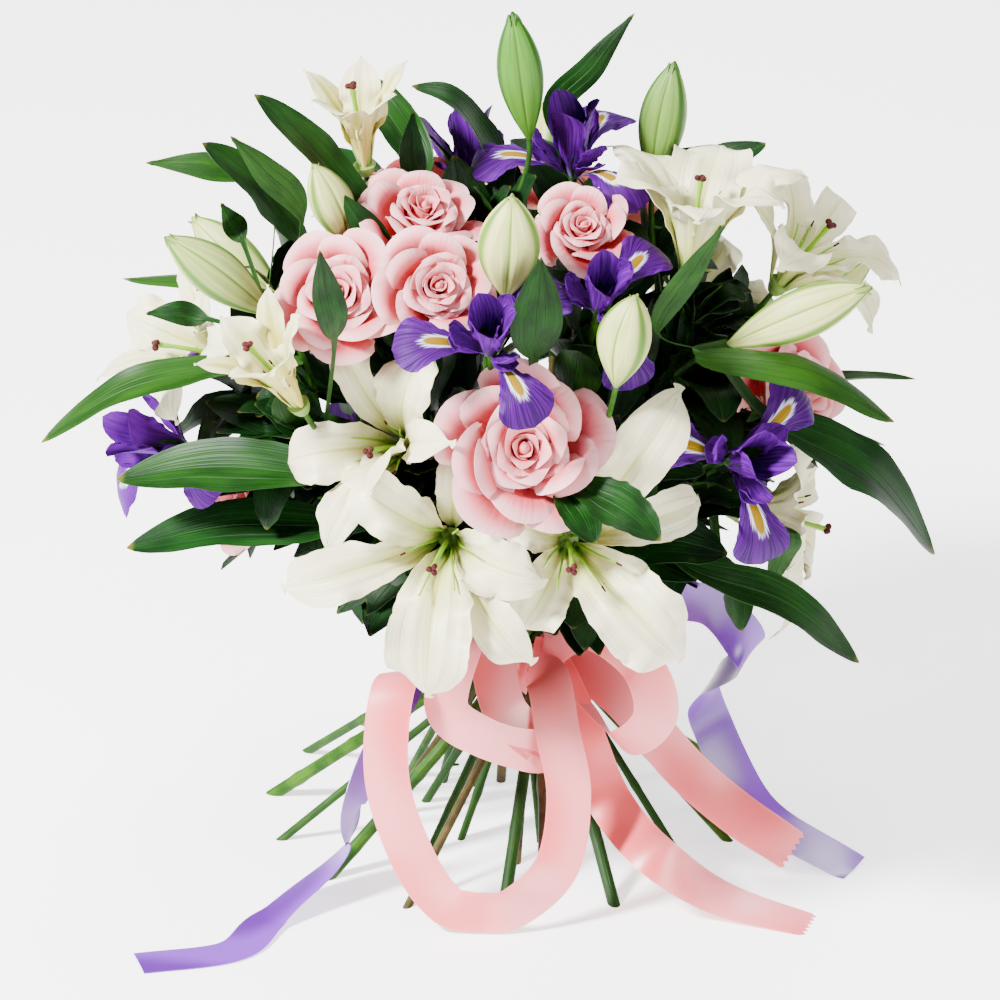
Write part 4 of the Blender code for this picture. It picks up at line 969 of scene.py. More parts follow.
class Finish:
    """A material's node tree, written as short sums."""

    def __init__(self, name, **constants):
        self.material = bpy.data.materials.new(name)
        self.material.use_nodes = True
        self.nodes = self.material.node_tree.nodes
        self.links = self.material.node_tree.links
        self.shader = self.nodes["Principled BSDF"]
        for word, value in constants.items():
            self.put(self.shader.inputs[word.replace("_", " ")], value)

    def put(self, socket, value):
        """Feeds a socket a number inside the material, a named colour or a plain value."""
        if isinstance(value, Number):
            self.links.new(value.socket, socket)
        elif isinstance(value, str):
            socket.default_value = (*COLOURS[value], 1.0)
        else:
            socket.default_value = value

    def add(self, kind, *values, output=0, **settings):
        node = self.nodes.new("ShaderNode" + kind)
        for word, value in settings.items():
            setattr(node, word, value)
        for socket, value in zip(node.inputs, values):
            self.put(socket, value)
        return Number(self, node.outputs[output])

    def split(self, name):
        """The three numbers that every point carries under a name."""
        vector = self.add("Attribute", attribute_name=name, output=1)
        return [self.add("SeparateXYZ", vector, output=k) for k in range(3)]

    def sum(self, way, a, b=0.0):
        return self.add("Math", a, b, operation=way)

    def step(self, value, low, high):
        """0 to 1, smoothly, as a value goes from low to high, which may be the smaller."""
        return self.add("MapRange", value, low, high, interpolation_type="SMOOTHSTEP")

    def mix(self, share, a, b):
        """Colour a going over into colour b as the share goes from 0 to 1."""
        node = self.nodes.new("ShaderNodeMix")
        node.data_type = "RGBA"
        for k, value in ((0, share), (6, a), (7, b)):
            self.put(node.inputs[k], value)
        return Number(self, node.outputs[2])

    def noise(self, x, y, z, detail=2.0):
        """Smooth noise over three scaled numbers, about 0.5."""
        spot = self.add("CombineXYZ", x, y, z)
        return self.add("TexNoise", spot, 0.0, 1.0, detail)

    def grain(self, scale, detail=3.0):
        """Noise through space, in cycles a metre."""
        place = self.add("TexCoord", output=3)
        return self.add("TexNoise", place, 0.0, scale, detail)

    def bump(self, height, depth):
        node = self.nodes.new("ShaderNodeBump")
        node.inputs["Distance"].default_value = depth * METRES
        self.put(node.inputs["Height"], height)
        self.links.new(node.outputs[0], self.shader.inputs["Normal"])

    def colour(self, colour, glow=0.0):
        """Sets the colour, and lets a share of the light through as a thin petal does."""
        self.put(self.shader.inputs["Base Color"], colour)
        if glow:
            through = self.nodes.new("ShaderNodeBsdfTranslucent")
            self.put(through.inputs["Color"], colour)
            both = self.nodes.new("ShaderNodeMixShader")
            both.inputs[0].default_value = glow
            self.links.new(self.shader.outputs[0], both.inputs[1])
            self.links.new(through.outputs[0], both.inputs[2])
            self.links.new(both.outputs[0], self.nodes["Material Output"].inputs["Surface"])
        return self.material


def lily_finish():
    """Ivory with a lime throat, a pale midrib and a few maroon specks; some are green-ribbed outside."""
    f = Finish("lily petal", Roughness=0.44)
    along, across, back = f.split("place")
    tint, green, _ = f.split("look")
    away = abs(across)
    veins = f.noise(along * 2.5, across * 15.0, tint)
    cloud = f.noise(along * 3.0, across * 1.6, tint, 1.0)
    base = f.mix(cloud, "lily shade", "lily ivory")
    base = f.mix(f.step(veins, 0.62, 0.4) * 0.3, base, "lily vein")
    reach = along + away * 0.1
    warm = f.step(reach, 0.66, 0.12) * 0.85
    base = f.mix(warm, base, "lily foot")
    middle = f.step(away, 0.55, 0.02) * f.step(along, 1.0, 0.3)
    base = f.mix(middle * 0.6, base, "lily middle")
    throat = f.step(reach + veins * 0.08, 0.37, 0.11)
    base = f.mix(throat, base, "lily throat")
    rib = f.step(away, 0.1, 0.01) * f.step(along, 1.0, 0.45)
    base = f.mix(rib * 0.75, base, "lily rib")
    outside = back * f.sum("MAXIMUM", f.step(away, 0.34, 0.02), f.step(along, 0.3, 0.02))
    base = f.mix(outside * 0.38, base, "lily outside")
    ribbed = green * (f.step(away, 0.42, 0.06) * f.step(along, 1.05, 0.75))
    base = f.mix(ribbed * 0.8, base, "half-open rib")
    base = f.mix(green * f.step(along, 1.15, 0.35), base, "half-open lily")
    spot = f.add("CombineXYZ", along * 34.0, across * 11.0, tint)
    near = f.add("TexVoronoi", spot, 0.0, 1.0, output=0)
    cell = f.add("SeparateXYZ", f.add("TexVoronoi", spot, 0.0, 1.0, output=1))
    speck = f.step(near, 0.2, 0.12) * f.step(cell, 0.86, 0.9)
    speck = speck * (f.step(along, 0.62, 0.4) * (1.0 - back))
    base = f.mix(speck, base, "lily speck")
    f.bump(veins, depth=0.5)
    return f.colour(base, glow=0.16)


def rose_finish():
    """Blush pink, coral in the depths, partly its own colour and partly painted shade in the cup, and
    paler at the lips; the outermost petals are cream and green.
    """
    f = Finish("rose petal", Roughness=0.52, Specular_IOR_Level=0.30)
    along, across, back = f.split("place")
    tint, depth, _ = f.split("look")
    away = abs(across)
    veins = f.noise(along * 2.0, across * 11.0, tint)
    cloud = f.noise(along * 2.4, across * 1.8, tint, 2.0)
    # Partly painted shade: deeper coral towards the petals' feet, where they sit in the cup, is also the
    # rose's own colour.
    heart = f.mix(cloud, "rose depth dark", "rose depth")
    blush = f.mix(cloud, "rose blush dark", "rose blush")
    base = f.mix(f.step(along, 0.36, 0.90), heart, blush)
    # Partly painted shade: the innermost petals are made deeper coral, which is also the rose's own
    # colour.
    base = f.mix((1.0 - depth) * 0.45, base, "rose heart")
    rim = f.sum("MAXIMUM", f.step(along, 0.78, 1.0), f.step(away, 0.82, 1.0))
    lips = rim * f.step(depth, -0.35, 0.55)
    base = f.mix(lips * 0.8, base, "rose lip")
    outer = f.step(depth, 0.55, 1.0) * f.sum("MAXIMUM", back, f.step(away, 0.55, 1.0))
    base = f.mix(outer * 0.5, base, "rose cream")
    foot = f.step(along, 0.45, 0.05) * (depth * back)
    base = f.mix(foot, base, "rose foot")
    worn = rim * f.step(cloud, 0.58, 0.7) * f.step(depth, 0.5, 1.0)
    base = f.mix(worn * 0.45, base, "rose worn")
    f.bump(veins + cloud, depth=0.55)
    return f.colour(base, glow=0.32)


def fall_finish():
    """A violet fall with a yellow signal edged white, and dark veins that run out from it."""
    f = Finish("iris fall", Roughness=0.50, Specular_IOR_Level=0.12)
    along, across, back = f.split("place")
    tint, pale, _ = f.split("look")
    away = abs(across)
    fan = across / (along + 0.25)
    veins = f.noise(along * 1.5, fan * 17.0, tint)
    base = f.mix(f.step(veins, 0.36, 0.62), "fall vein", "fall violet")
    base = f.mix(pale * 0.62, base, "fall pale")
    base = f.mix(f.step(away, 0.78, 1.0) * 0.4, base, "fall edge")
    inside = 1.0 - back
    far = (abs(along - 0.36) / 0.34) ** 2.0
    ring = far + (away / 0.44) ** 2.0
    ring = ring + (veins - 0.5) * 1.6
    base = f.mix(f.step(ring, 1.25, 0.75) * inside, base, "signal rim")
    ring = far * 1.1 + (away / 0.29) ** 2.0
    base = f.mix(f.step(ring, 1.15, 0.85) * inside, base, "signal")
    foot = back * f.step(along, 0.3, 0.05)
    base = f.mix(foot, base, "fall foot")
    f.bump(veins, depth=0.7)
    return f.colour(base, glow=0.14)


def standard_finish():
    """Violet, streaked from the foot, with paler torn edges."""
    f = Finish("iris standard", Roughness=0.52, Specular_IOR_Level=0.12)
    along, across, back = f.split("place")
    tint, pale, _ = f.split("look")
    away = abs(across)
    veins = f.noise(along * 1.8, across * 9.0, tint)
    base = f.mix(f.step(veins, 0.35, 0.65), "standard vein", "standard violet")
    base = f.mix(pale * 0.6, base, "standard pale")
    base = f.mix(f.step(away, 0.7, 1.0) * 0.38, base, "standard edge")
    rib = f.step(away, 0.16, 0.0) * f.step(along, 0.9, 0.2)
    base = f.mix(rib * 0.35, base, "standard rib")
    foot = f.step(along, 0.22, 0.02)
    base = f.mix(foot * 0.7, base, "standard foot")
    f.bump(veins, depth=0.7)
    return f.colour(base, glow=0.26)


def leaf_finish(name, painted_shade):
    """Glossy dark green with lengthwise veins, paler underneath and yellowed at the tip; darkened by a
    share as painted shade for the leaves inside the bouquet.
    """
    f = Finish(name, Roughness=0.42, Specular_IOR_Level=0.13)
    along, across, back = f.split("place")
    tint, light, _ = f.split("look")
    away = abs(across)
    veins = f.noise(along * 1.2, across * 13.0, tint)
    cloud = f.noise(along * 5.0, across * 1.5, tint, 3.0)
    dark = f.mix(f.step(cloud, 0.35, 0.65), "leaf dark", "leaf green")
    pale = f.mix(f.step(cloud, 0.35, 0.65), "leaf pale dark", "leaf pale")
    under = f.sum("MAXIMUM", back * 0.62, light)
    base = f.mix(under, dark, pale)
    shade = f.mix(under, "leaf vein", "leaf pale vein")
    base = f.mix(f.step(veins, 0.6, 0.42) * 0.35, base, shade)
    ribs = abs(away - 0.46)
    lines = f.sum("MAXIMUM", f.step(away, 0.045, 0.0), f.step(ribs, 0.022, 0.0) * 0.4)
    base = f.mix(lines * 0.45, base, "leaf midrib")
    base = f.mix(f.step(along, 0.3, 0.02) * 0.4, base, "leaf foot")
    base = f.mix(f.step(along, 0.965, 1.0) * 0.8, base, "leaf tip")
    # Painted shade: the leaves inside the bouquet are darkened towards a near-black green by this share.
    base = f.mix(painted_shade, base, "leaf in shade")
    f.bump(veins - lines, depth=0.45)
    return f.colour(base, glow=0.05)


def bud_finish():
    """A lily bud: cream to apple green, greener on its ribs, at its foot and at its tip."""
    f = Finish("lily bud", Roughness=0.42, Specular_IOR_Level=0.25)
    along, rib, _ = f.split("place")
    tint, green, _ = f.split("look")
    veins = f.noise(along * 2.0, rib * 6.0, tint)
    flesh = f.mix(green, "bud cream", "bud green")
    ridge = f.mix(green, "bud cream ridge", "bud green ridge")
    base = f.mix(f.step(veins, 0.6, 0.4) * 0.25, flesh, ridge)
    base = f.mix(f.step(rib, 0.78, 0.97) * 0.9, base, ridge)
    ends = f.sum("MAXIMUM", f.step(along, 0.22, 0.0), f.step(along, 0.90, 1.0))
    base = f.mix(ends * 0.55, base, ridge)
    seam = f.step(rib, 0.34, 0.14) * (0.24 - green * 0.2)
    base = f.mix(seam, base, "bud seam")
    base = f.mix(f.step(rib, 0.07, 0.01) * 0.75, base, ridge)
    f.bump(veins, depth=0.5)
    return f.colour(base, glow=0.12)


def stem_finish():
    """Green or brown bark with lengthwise streaks, and pale wet flesh where it is cut."""
    f = Finish("stem", Roughness=0.48, Specular_IOR_Level=0.12)
    along, across, cut = f.split("place")
    tint, brown, _ = f.split("look")
    streaks = f.noise(along * 7.0, across * 9.0, tint)
    cloud = f.grain(70.0)
    green = f.mix(f.step(cloud, 0.35, 0.65), "stem dark", "stem green")
    green = f.mix(f.step(tint, -0.6, 0.8), green, "stem cool")
    bark = f.mix(f.step(cloud, 0.40, 0.60), "bark dark", "bark light")
    base = f.mix(brown, green, bark)
    base = f.mix(f.step(streaks, 0.58, 0.4) * 0.4, base, "stem streak")
    flesh = f.mix(f.step(streaks, 0.40, 0.60), "flesh dark", "flesh light")
    base = f.mix(cut, base, flesh)
    f.bump(streaks + cloud, depth=0.6)
    return f.colour(base)


def filament_finish():
    """The stamens' filaments and the style: fresh green, lighter towards their ends."""
    f = Finish("filament", Roughness=0.40)
    along, _, _ = f.split("place")
    cloud = f.grain(300.0)
    base = f.mix(f.step(along, 0.0, 0.9), "filament foot", "filament end")
    base = f.mix(f.step(cloud, 0.45, 0.65) * 0.3, base, "filament fleck")
    f.bump(cloud, depth=0.2)
    return f.colour(base, glow=0.15)


def stigma_finish():
    """The maroon, velvety stigma."""
    f = Finish("stigma", Roughness=0.70, Specular_IOR_Level=0.2)
    cloud = f.grain(900.0)
    base = f.mix(f.step(cloud, 0.40, 0.60), "stigma dark", "stigma maroon")
    f.bump(cloud, depth=0.6)
    return f.colour(base)


def satin_finish(name, dark, light):
    """Satin ribbon: fine ribs across its width, smooth long sheen partly painted as long light and dark
    streaks, and a woven selvage.
    """
    f = Finish(name, Roughness=0.30, Specular_IOR_Level=0.80, Sheen_Weight=0.10, Sheen_Roughness=0.40)
    along, across, _ = f.split("place")
    tint, length, _ = f.split("look")
    away = abs(across)
    reach = along * length
    cloud = f.noise(reach * 0.016, across * 0.35, tint, 0.0)
    ribs = f.sum("SINE", reach * 10.5)
    threads = f.noise(reach * 0.5, across * 70.0, tint)
    edge = f.step(away, 0.90, 0.96)
    # Painted sheen: long light and dark streaks along the ribbon stand in for the satin's highlights and
    # shade.
    base = f.mix(f.step(cloud, 0.34, 0.66), dark, light)
    base = f.mix(f.step(threads, 0.6, 0.4) * 0.06, base, dark)
    base = f.mix(edge * 0.3, base, light)
    f.put(f.shader.inputs["Roughness"], f.add("MapRange", threads, 0.3, 0.7, 0.28, 0.34))
    f.put(f.shader.inputs["Sheen Tint"], light)
    height = ribs * 0.2 + (threads + edge)
    f.bump(height, depth=0.02)
    return f.colour(base, glow=0.08)


FINISHES = {
    "lily": lily_finish(),
    "rose": rose_finish(),
    "fall": fall_finish(),
    "standard": standard_finish(),
    "leaf": leaf_finish("leaf", 0.0),
    # The leaves inside the bouquet carry painted shade: darkened by 0.55.
    "inner leaf in painted shade": leaf_finish("inner leaf in painted shade", 0.55),
    "bud": bud_finish(),
    "stem": stem_finish(),
    "filament": filament_finish(),
    "stigma": stigma_finish(),
    "pink satin": satin_finish("pink satin ribbon", "pink satin dark", "pink satin light"),
    "lilac satin": satin_finish("lilac satin ribbon", "lilac satin dark", "lilac satin light"),
}


# Fine meshes

BLUNT = 0.12  # least width of a blade's last row, as a share of the row before it


def spread_of(rows, columns):
    """Where the points of a grid lie: along it from 0 to 1, and across it from -1 to 1."""
    return np.meshgrid(np.linspace(0, 1, rows), np.linspace(-1, 1, columns), indexing="ij")


def widths_of(grid):
    """How wide a grid is at each of its rows."""
    return np.linalg.norm(grid[:, -1] - grid[:, 0], axis=1)


def normals_of(grid):
    """The way that the inner side of a grid faces, with the ends that come to a point mended."""
    normal = np.cross(np.gradient(grid, axis=1), np.gradient(grid, axis=0))
    size = np.linalg.norm(normal, axis=2, keepdims=True)
    normal = normal / np.maximum(size, 1e-9)
    normal[-1] = normal[-2]
    normal[0] = normal[1]
    return normal


class Skin:
    """Petals, leaves and rods gathered into one mesh; each point carries what its material reads."""

    def __init__(self):
        self.points, self.place, self.look, self.faces, self.slots = [], [], [], [], []
        self.count = 0
        self.finishes = []

    def keep(self, points, place, look, faces, finish):
        """Takes in points, their two sets of three numbers, and the faces over them."""
        if finish not in self.finishes:
            self.finishes.append(finish)
        self.points.append(points)
        self.place.append(place)
        self.look.append(np.tile(look, (len(points), 1)))
        self.faces.extend((np.asarray(faces) + self.count).tolist())
        self.slots.extend([self.finishes.index(finish)] * len(faces))
        self.count += len(points)

    def blade(self, grid, finish, thick=0.5, edge=0.25, tint=0.0, kind=0.0):
        """A closed thin solid about a grid, thinner towards its edges and its tip."""
        grid = grid.copy()
        before = grid[-2] - grid[-2].mean(axis=0)
        if np.linalg.norm(grid[-1, 0] - grid[-1, -1]) < BLUNT * np.linalg.norm(before[0] - before[-1]):
            grid[-1] = grid[-1].mean(axis=0) + BLUNT * before
        u, v = spread_of(*grid.shape[:2])
        half = (edge + (thick - edge) * (1 - v**2) * (1 - u))[:, :, None] / 2
        normal = normals_of(grid)
        points = np.concatenate([grid + normal * half, grid - normal * half]).reshape(-1, 3)
        size = u.size
        flat = np.stack([u.ravel(), v.ravel()], axis=1)
        place = np.vstack([np.hstack([flat, np.full((size, 1), side)]) for side in (0.0, 1.0)])
        index = np.arange(size).reshape(u.shape)
        a, b, c, d = index[:-1, :-1], index[1:, :-1], index[1:, 1:], index[:-1, 1:]
        front = np.stack([a, b, c, d], axis=2).reshape(-1, 4)
        border = np.concatenate([index[:-1, 0], index[-1, :-1], index[:0:-1, -1], index[0, :0:-1]])
        after = np.roll(border, -1)
        rim = np.stack([after, border, border + size, after + size], axis=1)
        faces = np.vstack([front, front[:, ::-1] + size, rim])
        self.keep(points, place, (tint, kind, 0.0), faces, finish)

    def rod(self, path, radii, finish, sides=10, tint=0.0, kind=0.0, ends=(0.0, 0.0), squash=1.0):
        """A round rod along a path; an end of 1 is a cut face and 0 closes over."""
        path = np.asarray(path, float)
        radii = np.broadcast_to(radii, (len(path),))
        ahead = ahead_of(path)
        side = np.cross(ahead[0], (0.0, 0.0, 1.0) if abs(ahead[0][2]) < 0.9 else (1.0, 0.0, 0.0))
        rings = []
        for place, way, radius in zip(path, ahead, radii):
            side = unit(side - way * (side @ way))
            other = np.cross(way, side) * squash
            turn = np.linspace(0, 2 * math.pi, sides, endpoint=False)[:, None]
            rings.append(place + radius * (np.cos(turn) * side + np.sin(turn) * other))
        if ends[0]:
            rings[0] = rings[0] - ahead[0] * (rings[0][:, 2:] / ahead[0][2])
        rings = [rings[0], *rings, rings[-1]]
        cut = np.zeros(len(rings))
        cut[0], cut[-1] = ends
        share = np.concatenate(([0.0], np.linspace(0, 1, len(path)), [1.0]))
        around = np.abs(np.linspace(-1, 1, sides, endpoint=False))
        place = [
            np.stack([np.full(sides, s), around, np.full(sides, c)], axis=1) for s, c in zip(share, cut)]
        points = np.vstack([*rings, path[:1], path[-1:]])
        place = np.vstack([*place, [[0.0, 0.5, ends[0]], [1.0, 0.5, ends[1]]]])
        faces = []
        for i in range(1, len(rings) - 2):
            low, high = np.arange(sides) + i * sides, np.arange(sides) + (i + 1) * sides
            faces.append(np.stack([low, np.roll(low, -1), np.roll(high, -1), high], axis=1))
        self.keep(points, place, (tint, kind, 0.0), np.vstack(faces), finish)
        top, bottom = self.count - 1, self.count - 2
        first, last = self.count - 2 - len(rings) * sides, self.count - 2 - sides
        for k in range(sides):
            following = (k + 1) % sides
            self.faces.append([first + following, first + k, bottom])
            self.faces.append([last + k, last + following, top])
            self.slots.extend([self.finishes.index(finish)] * 2)

    def turned(self, base, axis, profile, finish, sides=24, tint=0.0, kind=0.0, ribs=None):
        """A closed body turned about an axis: (height, radius) pairs, with ribs as a share of radius."""
        axis, up, right = bloom_frame(axis)
        turn = np.linspace(0, 2 * math.pi, sides, endpoint=False)
        out = np.cos(turn)[:, None] * up + np.sin(turn)[:, None] * right
        swell, mark = ribs(turn) if ribs else (np.zeros(sides), np.full(sides, 0.5))
        points, place = [], []
        tall = profile[-1][0]
        for height, radius in profile:
            fade = min(1.0, radius / max(r for _, r in profile) * 2)
            points.append(base + axis * height + out * (radius * (1 + swell * fade))[:, None])
            place.append(np.stack([np.full(sides, height / tall), mark, np.zeros(sides)], axis=1))
        faces = []
        for i in range(len(profile) - 1):
            low, high = np.arange(sides) + i * sides, np.arange(sides) + (i + 1) * sides
            faces.append(np.stack([low, high, np.roll(high, -1), np.roll(low, -1)], axis=1))
        self.keep(np.vstack(points), np.vstack(place), (tint, kind, 0.0), np.vstack(faces), finish)

    def thing(self, name, sharp=50.0):
        """The one object made of all of it, kept inside the box of the solids."""
        mesh = bpy.data.meshes.new(name)
        points = (np.vstack(self.points) - (MIDDLE[0], MIDDLE[1], 0.0)) * METRES
        points = np.clip(points, CAD_BOX[0], CAD_BOX[1])
        mesh.from_pydata(points.tolist(), [], self.faces)
        mesh.polygons.foreach_set("material_index", self.slots)
        for word, rows in (("place", self.place), ("look", self.look)):
            layer = mesh.attributes.new(word, "FLOAT_VECTOR", "POINT")
            layer.data.foreach_set("vector", np.vstack(rows).astype(np.float32).ravel())
        for finish in self.finishes:
            mesh.materials.append(FINISHES[finish])
        bm = bmesh.new()
        bm.from_mesh(mesh)
        bmesh.ops.recalc_face_normals(bm, faces=bm.faces)
        bm.to_mesh(mesh)
        bm.free()
        mesh.shade_smooth()
        mesh.set_sharp_from_angle(angle=math.radians(sharp))
        thing = placed(name, mesh)
        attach(thing, "root")
        return thing


def waved(grid, rng, depth=0.05, waves=3.0, groove=0.0, ragged=0.0, side_waves=7.0):
    """A blade with ruffled edges, a grooved midrib and a slightly ragged outline."""
    u, v = spread_of(*grid.shape[:2])
    wide = widths_of(grid)[:, None]
    lift = np.zeros(u.shape)
    drift = np.zeros(u.shape)
    for share, pace in ((1.0, 1.0), (0.55, 1.9), (0.3, 3.3)):
        left, right, small = rng.uniform(0, 2 * math.pi, 3)
        phase = np.where(v < 0, left, right)
        lift += share * np.sin(2 * math.pi * waves * pace * u + phase)
        drift += share * np.sin(2 * math.pi * side_waves * pace * u + phase + small)
    fade = np.sin(math.pi * np.clip(u * 1.05, 0, 1)) ** 0.6
    lift = depth * wide * lift * np.abs(v) ** 2.2 * fade
    lift -= groove * wide * np.exp(-((v / 0.13) ** 2)) * (1 - u) ** 0.5 * fade
    across = grid[:, -1:] - grid[:, :1]
    return grid + normals_of(grid) * lift[:, :, None] + across * (ragged * drift * v**3 * fade)[:, :, None]


def cambered(grid, bow, veins=0.0):
    """A petal whose edges rise towards its foot and fall back towards its tip, with a few long veins."""
    u, v = spread_of(*grid.shape[:2])
    wide = widths_of(grid)[:, None]
    lift = bow * (v**2 - 0.3) * (1 - 1.9 * u)
    lift += veins * np.cos(5 * math.pi * v) * (1 - v**2) * (1 - u) ** 0.6
    return grid + normals_of(grid) * (wide * lift)[:, :, None]


def pointed(grid, power):
    """A blade drawn in from its widest place to a pointed tip."""
    middle = grid[:, grid.shape[1] // 2]
    wide = widths_of(grid)
    widest = int(wide.argmax())
    t = np.clip((np.arange(len(wide)) - widest) / (len(wide) - 1 - widest), 0, 1)
    share = np.minimum(wide.max() * (1 - t**power) / np.maximum(wide, 1e-6), 1.2)
    share = np.where(t > 0, share, 1.0)
    return middle[:, None] + (grid - middle[:, None]) * share[:, None, None]


def sheet_rows(path, side, widths):
    """A strip about a path, as wide as the widths say, along one side."""
    v = np.linspace(-1, 1, 5)
    return np.array([place + side * v[:, None] * wide for place, wide in zip(path, widths)])


def steadied(grid, reach=9, even=False):
    """A strip whose width turns smoothly from row to row, with no sudden flip or pinch."""
    middle = grid[:, grid.shape[1] // 2]
    ahead = ahead_of(middle)
    side = grid[:, -1] - grid[:, 0]
    side -= ahead * (side * ahead).sum(axis=1)[:, None]
    wide = np.linalg.norm(side, axis=1)
    side /= np.maximum(wide, 1e-6)[:, None]
    flat, bulge = (
        ((grid - middle[:, None]) * way[:, None]).sum(axis=2) for way in (side, np.cross(side, ahead)))
    steady = side.copy()
    for i in range(1, len(side)):
        if steady[i] @ steady[max(0, i - 2 * reach):i].mean(axis=0) < 0:
            steady[i] = -steady[i]
    window = np.hanning(2 * reach + 3)[1:-1]
    window /= window.sum()
    for _ in range(2):
        padded = np.vstack([steady[:1].repeat(reach, 0), steady, steady[-1:].repeat(reach, 0)])
        steady = np.stack([np.convolve(padded[:, k], window, "valid") for k in range(3)], axis=1)
        steady -= ahead * (steady * ahead).sum(axis=1)[:, None]
        steady /= np.linalg.norm(steady, axis=1)[:, None]
    if even:
        full = widths_of(grid)
        widest = np.array([full[max(0, i - reach):i + reach + 1].max() for i in range(len(full))])
        padded = np.concatenate([widest[:1].repeat(reach), widest, widest[-1:].repeat(reach)])
        widest = np.convolve(padded, window, "valid")
        v = np.linspace(-0.5, 0.5, grid.shape[1])
        return middle[:, None] + steady[:, None] * (widest[:, None] * v)[:, :, None]
    grid = middle[:, None] + steady[:, None] * flat[:, :, None]
    return grid + np.cross(steady, ahead)[:, None] * bulge[:, :, None]


def broad(grid, share, top=0.0, power=3.0):
    """A blade made wider by a share, with its top edge rounded off."""
    middle = grid[:, [grid.shape[1] // 2]]
    grid = middle + (grid - middle) * share
    u = np.linspace(0, 1, grid.shape[0])
    out = grid.copy()
    for j, v in enumerate(np.linspace(-1, 1, grid.shape[1])):
        at = u * (1 - top * abs(v) ** power)
        for k in range(3):
            out[:, j, k] = np.interp(at, u, grid[:, j, k])
    return out


def rolled(grid, start, depth, sides=0.0):
    """A petal whose lip, and edges by a share of that, roll away from the heart."""
    u, v = spread_of(*grid.shape[:2])
    lip = np.clip((u - start) / (1 - start), 0, 1) ** 2
    edge = np.clip((np.abs(v) - 0.6) / 0.4, 0, 1) ** 2 * u * sides
    return grid - normals_of(grid) * (depth * np.maximum(lip, edge))[:, :, None]


# An inner petal of a rose: places along it, and its lean from the axis there in degrees, when it is
# wound tight, and when it is open in its middle and at its sides
CUP_PLACES = (0.0, 0.3, 0.7, 0.86, 1.0)
CUP_TIGHT = (30.0, 2.0, -10.0, -14.0, 14.0)
CUP_OPEN = ((74.0, 38.0, 6.0, 62.0, 150.0), (74.0, 38.0, 14.0, 104.0, 190.0))


def cupped(flower, radius, share, clock, lumps, tall, rows=14, columns=14):
    """An inner petal of a rose: part of a cup about the axis, from tight and tall to open and rolled."""
    base, axis, up, right = flower
    fine = np.linspace(0, 1, 65)
    reach = tall * (0.80 + 0.16 * share) * radius / 64
    spines = []
    for wide_open in CUP_OPEN:
        lean = np.interp(fine, CUP_PLACES, CUP_TIGHT) * (1 - share) ** 1.5
        lean = np.radians(lean + np.interp(fine, CUP_PLACES, wide_open) * share**1.1)
        away = running(np.sin(lean[1:]) * reach) + (0.010 + 0.10 * share) * radius
        high = running(np.cos(lean[1:]) * reach) + ROOT
        spines.append((np.maximum(away, 0.012 * radius), high))
    u, v = spread_of(rows + 1, columns + 1)
    along = u * (1 - (0.16 + 0.30 * share) * np.abs(v) ** 1.5 * (1 + 0.4 * v * lumps[0] / 0.05))
    along = along * (0.93 + 0.07 * np.exp(-((v / 0.20) ** 2)))
    half = math.radians(130 - 76 * share)
    angle = math.radians(clock) + v * half * (0.55 + 0.45 * np.minimum(along * 2.2, 1))
    blend = np.clip(np.abs(v) * 1.15, 0, 1) ** 1.5
    away, high = (
        np.interp(along, fine, middle) * (1 - blend) + np.interp(along, fine, side) * blend
        for middle, side in zip(*spines))
    away *= 1 + 0.08 * v * (1.2 - share)
    away *= 1 + lumps[0] * np.sin(2 * angle + lumps[1]) + lumps[2] * np.sin(3 * angle + lumps[3])
    round_it = np.cos(angle)[:, :, None] * up + np.sin(angle)[:, :, None] * right
    return base + round_it * away[:, :, None] + axis * high[:, :, None]


# Blooms

# Rows and columns of the fine grids
TEPAL_GRID = (40, 20)
PETAL_GRID = (20, 14)
FALL_GRID = (26, 18)
STANDARD_GRID = (24, 14)
LEAF_GRID = (32, 8)
RIBBON_GRID = (14, 12)
# Thickness in the middle and at the edge
TEPAL_THICK = (0.9, 0.35)
PETAL_THICK = (0.6, 0.3)
IRIS_THICK = (0.8, 0.3)
ARM_THICK = (0.9, 0.4)
LIP_THICK = (0.9, 0.3)
LEAF_THICK = (0.7, 0.3)
SMALL_LEAF_THICK = (0.6, 0.3)
RIBBON_THICK = (0.42, 0.36)
TURN_THICK = (0.6, 0.5)
# How green each bud is, by its tip; the ones at the back are all alike
BUD_GREEN = {
    (4, -14, 505): 0.95, (94, 16, 460): 0.85, (-188, -90, 404): 0.55, (4, -112, 440): 0.12,
    (203, -92, 374): 0.20, (72, -138, 392): 0.30, (-106, -56, 432): 0.25,
}
BACK_BUD_GREEN = 0.35
BROWN_STEMS = ("rose_top_left_stem", "rose_back_stem", "rose_right_stem", "rose_small_stem")
# Two leaves below the front rose: root, tip and width
FRONT_LEAVES = (((34, -150, 284), (86, -186, 264), 30), ((28, -150, 282), (50, -178, 258), 24))
INNER_LEAVES = 1000  # leaves tried inside the bouquet
INNER_MIDDLE = np.array((-6.0, 4.0, 215.0))  # of the egg that they stay in
INNER_REACH = np.array((200.0, 166.0, 214.0))  # half its sizes
INNER_FLOOR = 160.0  # height that they stay above
TWIGS = 18  # thin stalks at most
TWIG_TRIES = 3000
TWIG_AIR = 4.0  # least air between a thin stalk and the others
GUARDS = 5  # extra petals between the outer ones of a rose
GOLDEN = 137.5  # degrees from one petal to the next where they are wound


def blades_of(bouquet, node):
    """The tags of a node's blades, and the functions that make them as fine grids."""
    return [(tag, make) for owner, tag, make in bouquet.blades if owner == node]


def finished(skin, node):
    """Makes a node's fine piece, which replaces it."""
    thing = skin.thing("fine_" + node)
    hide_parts(node)


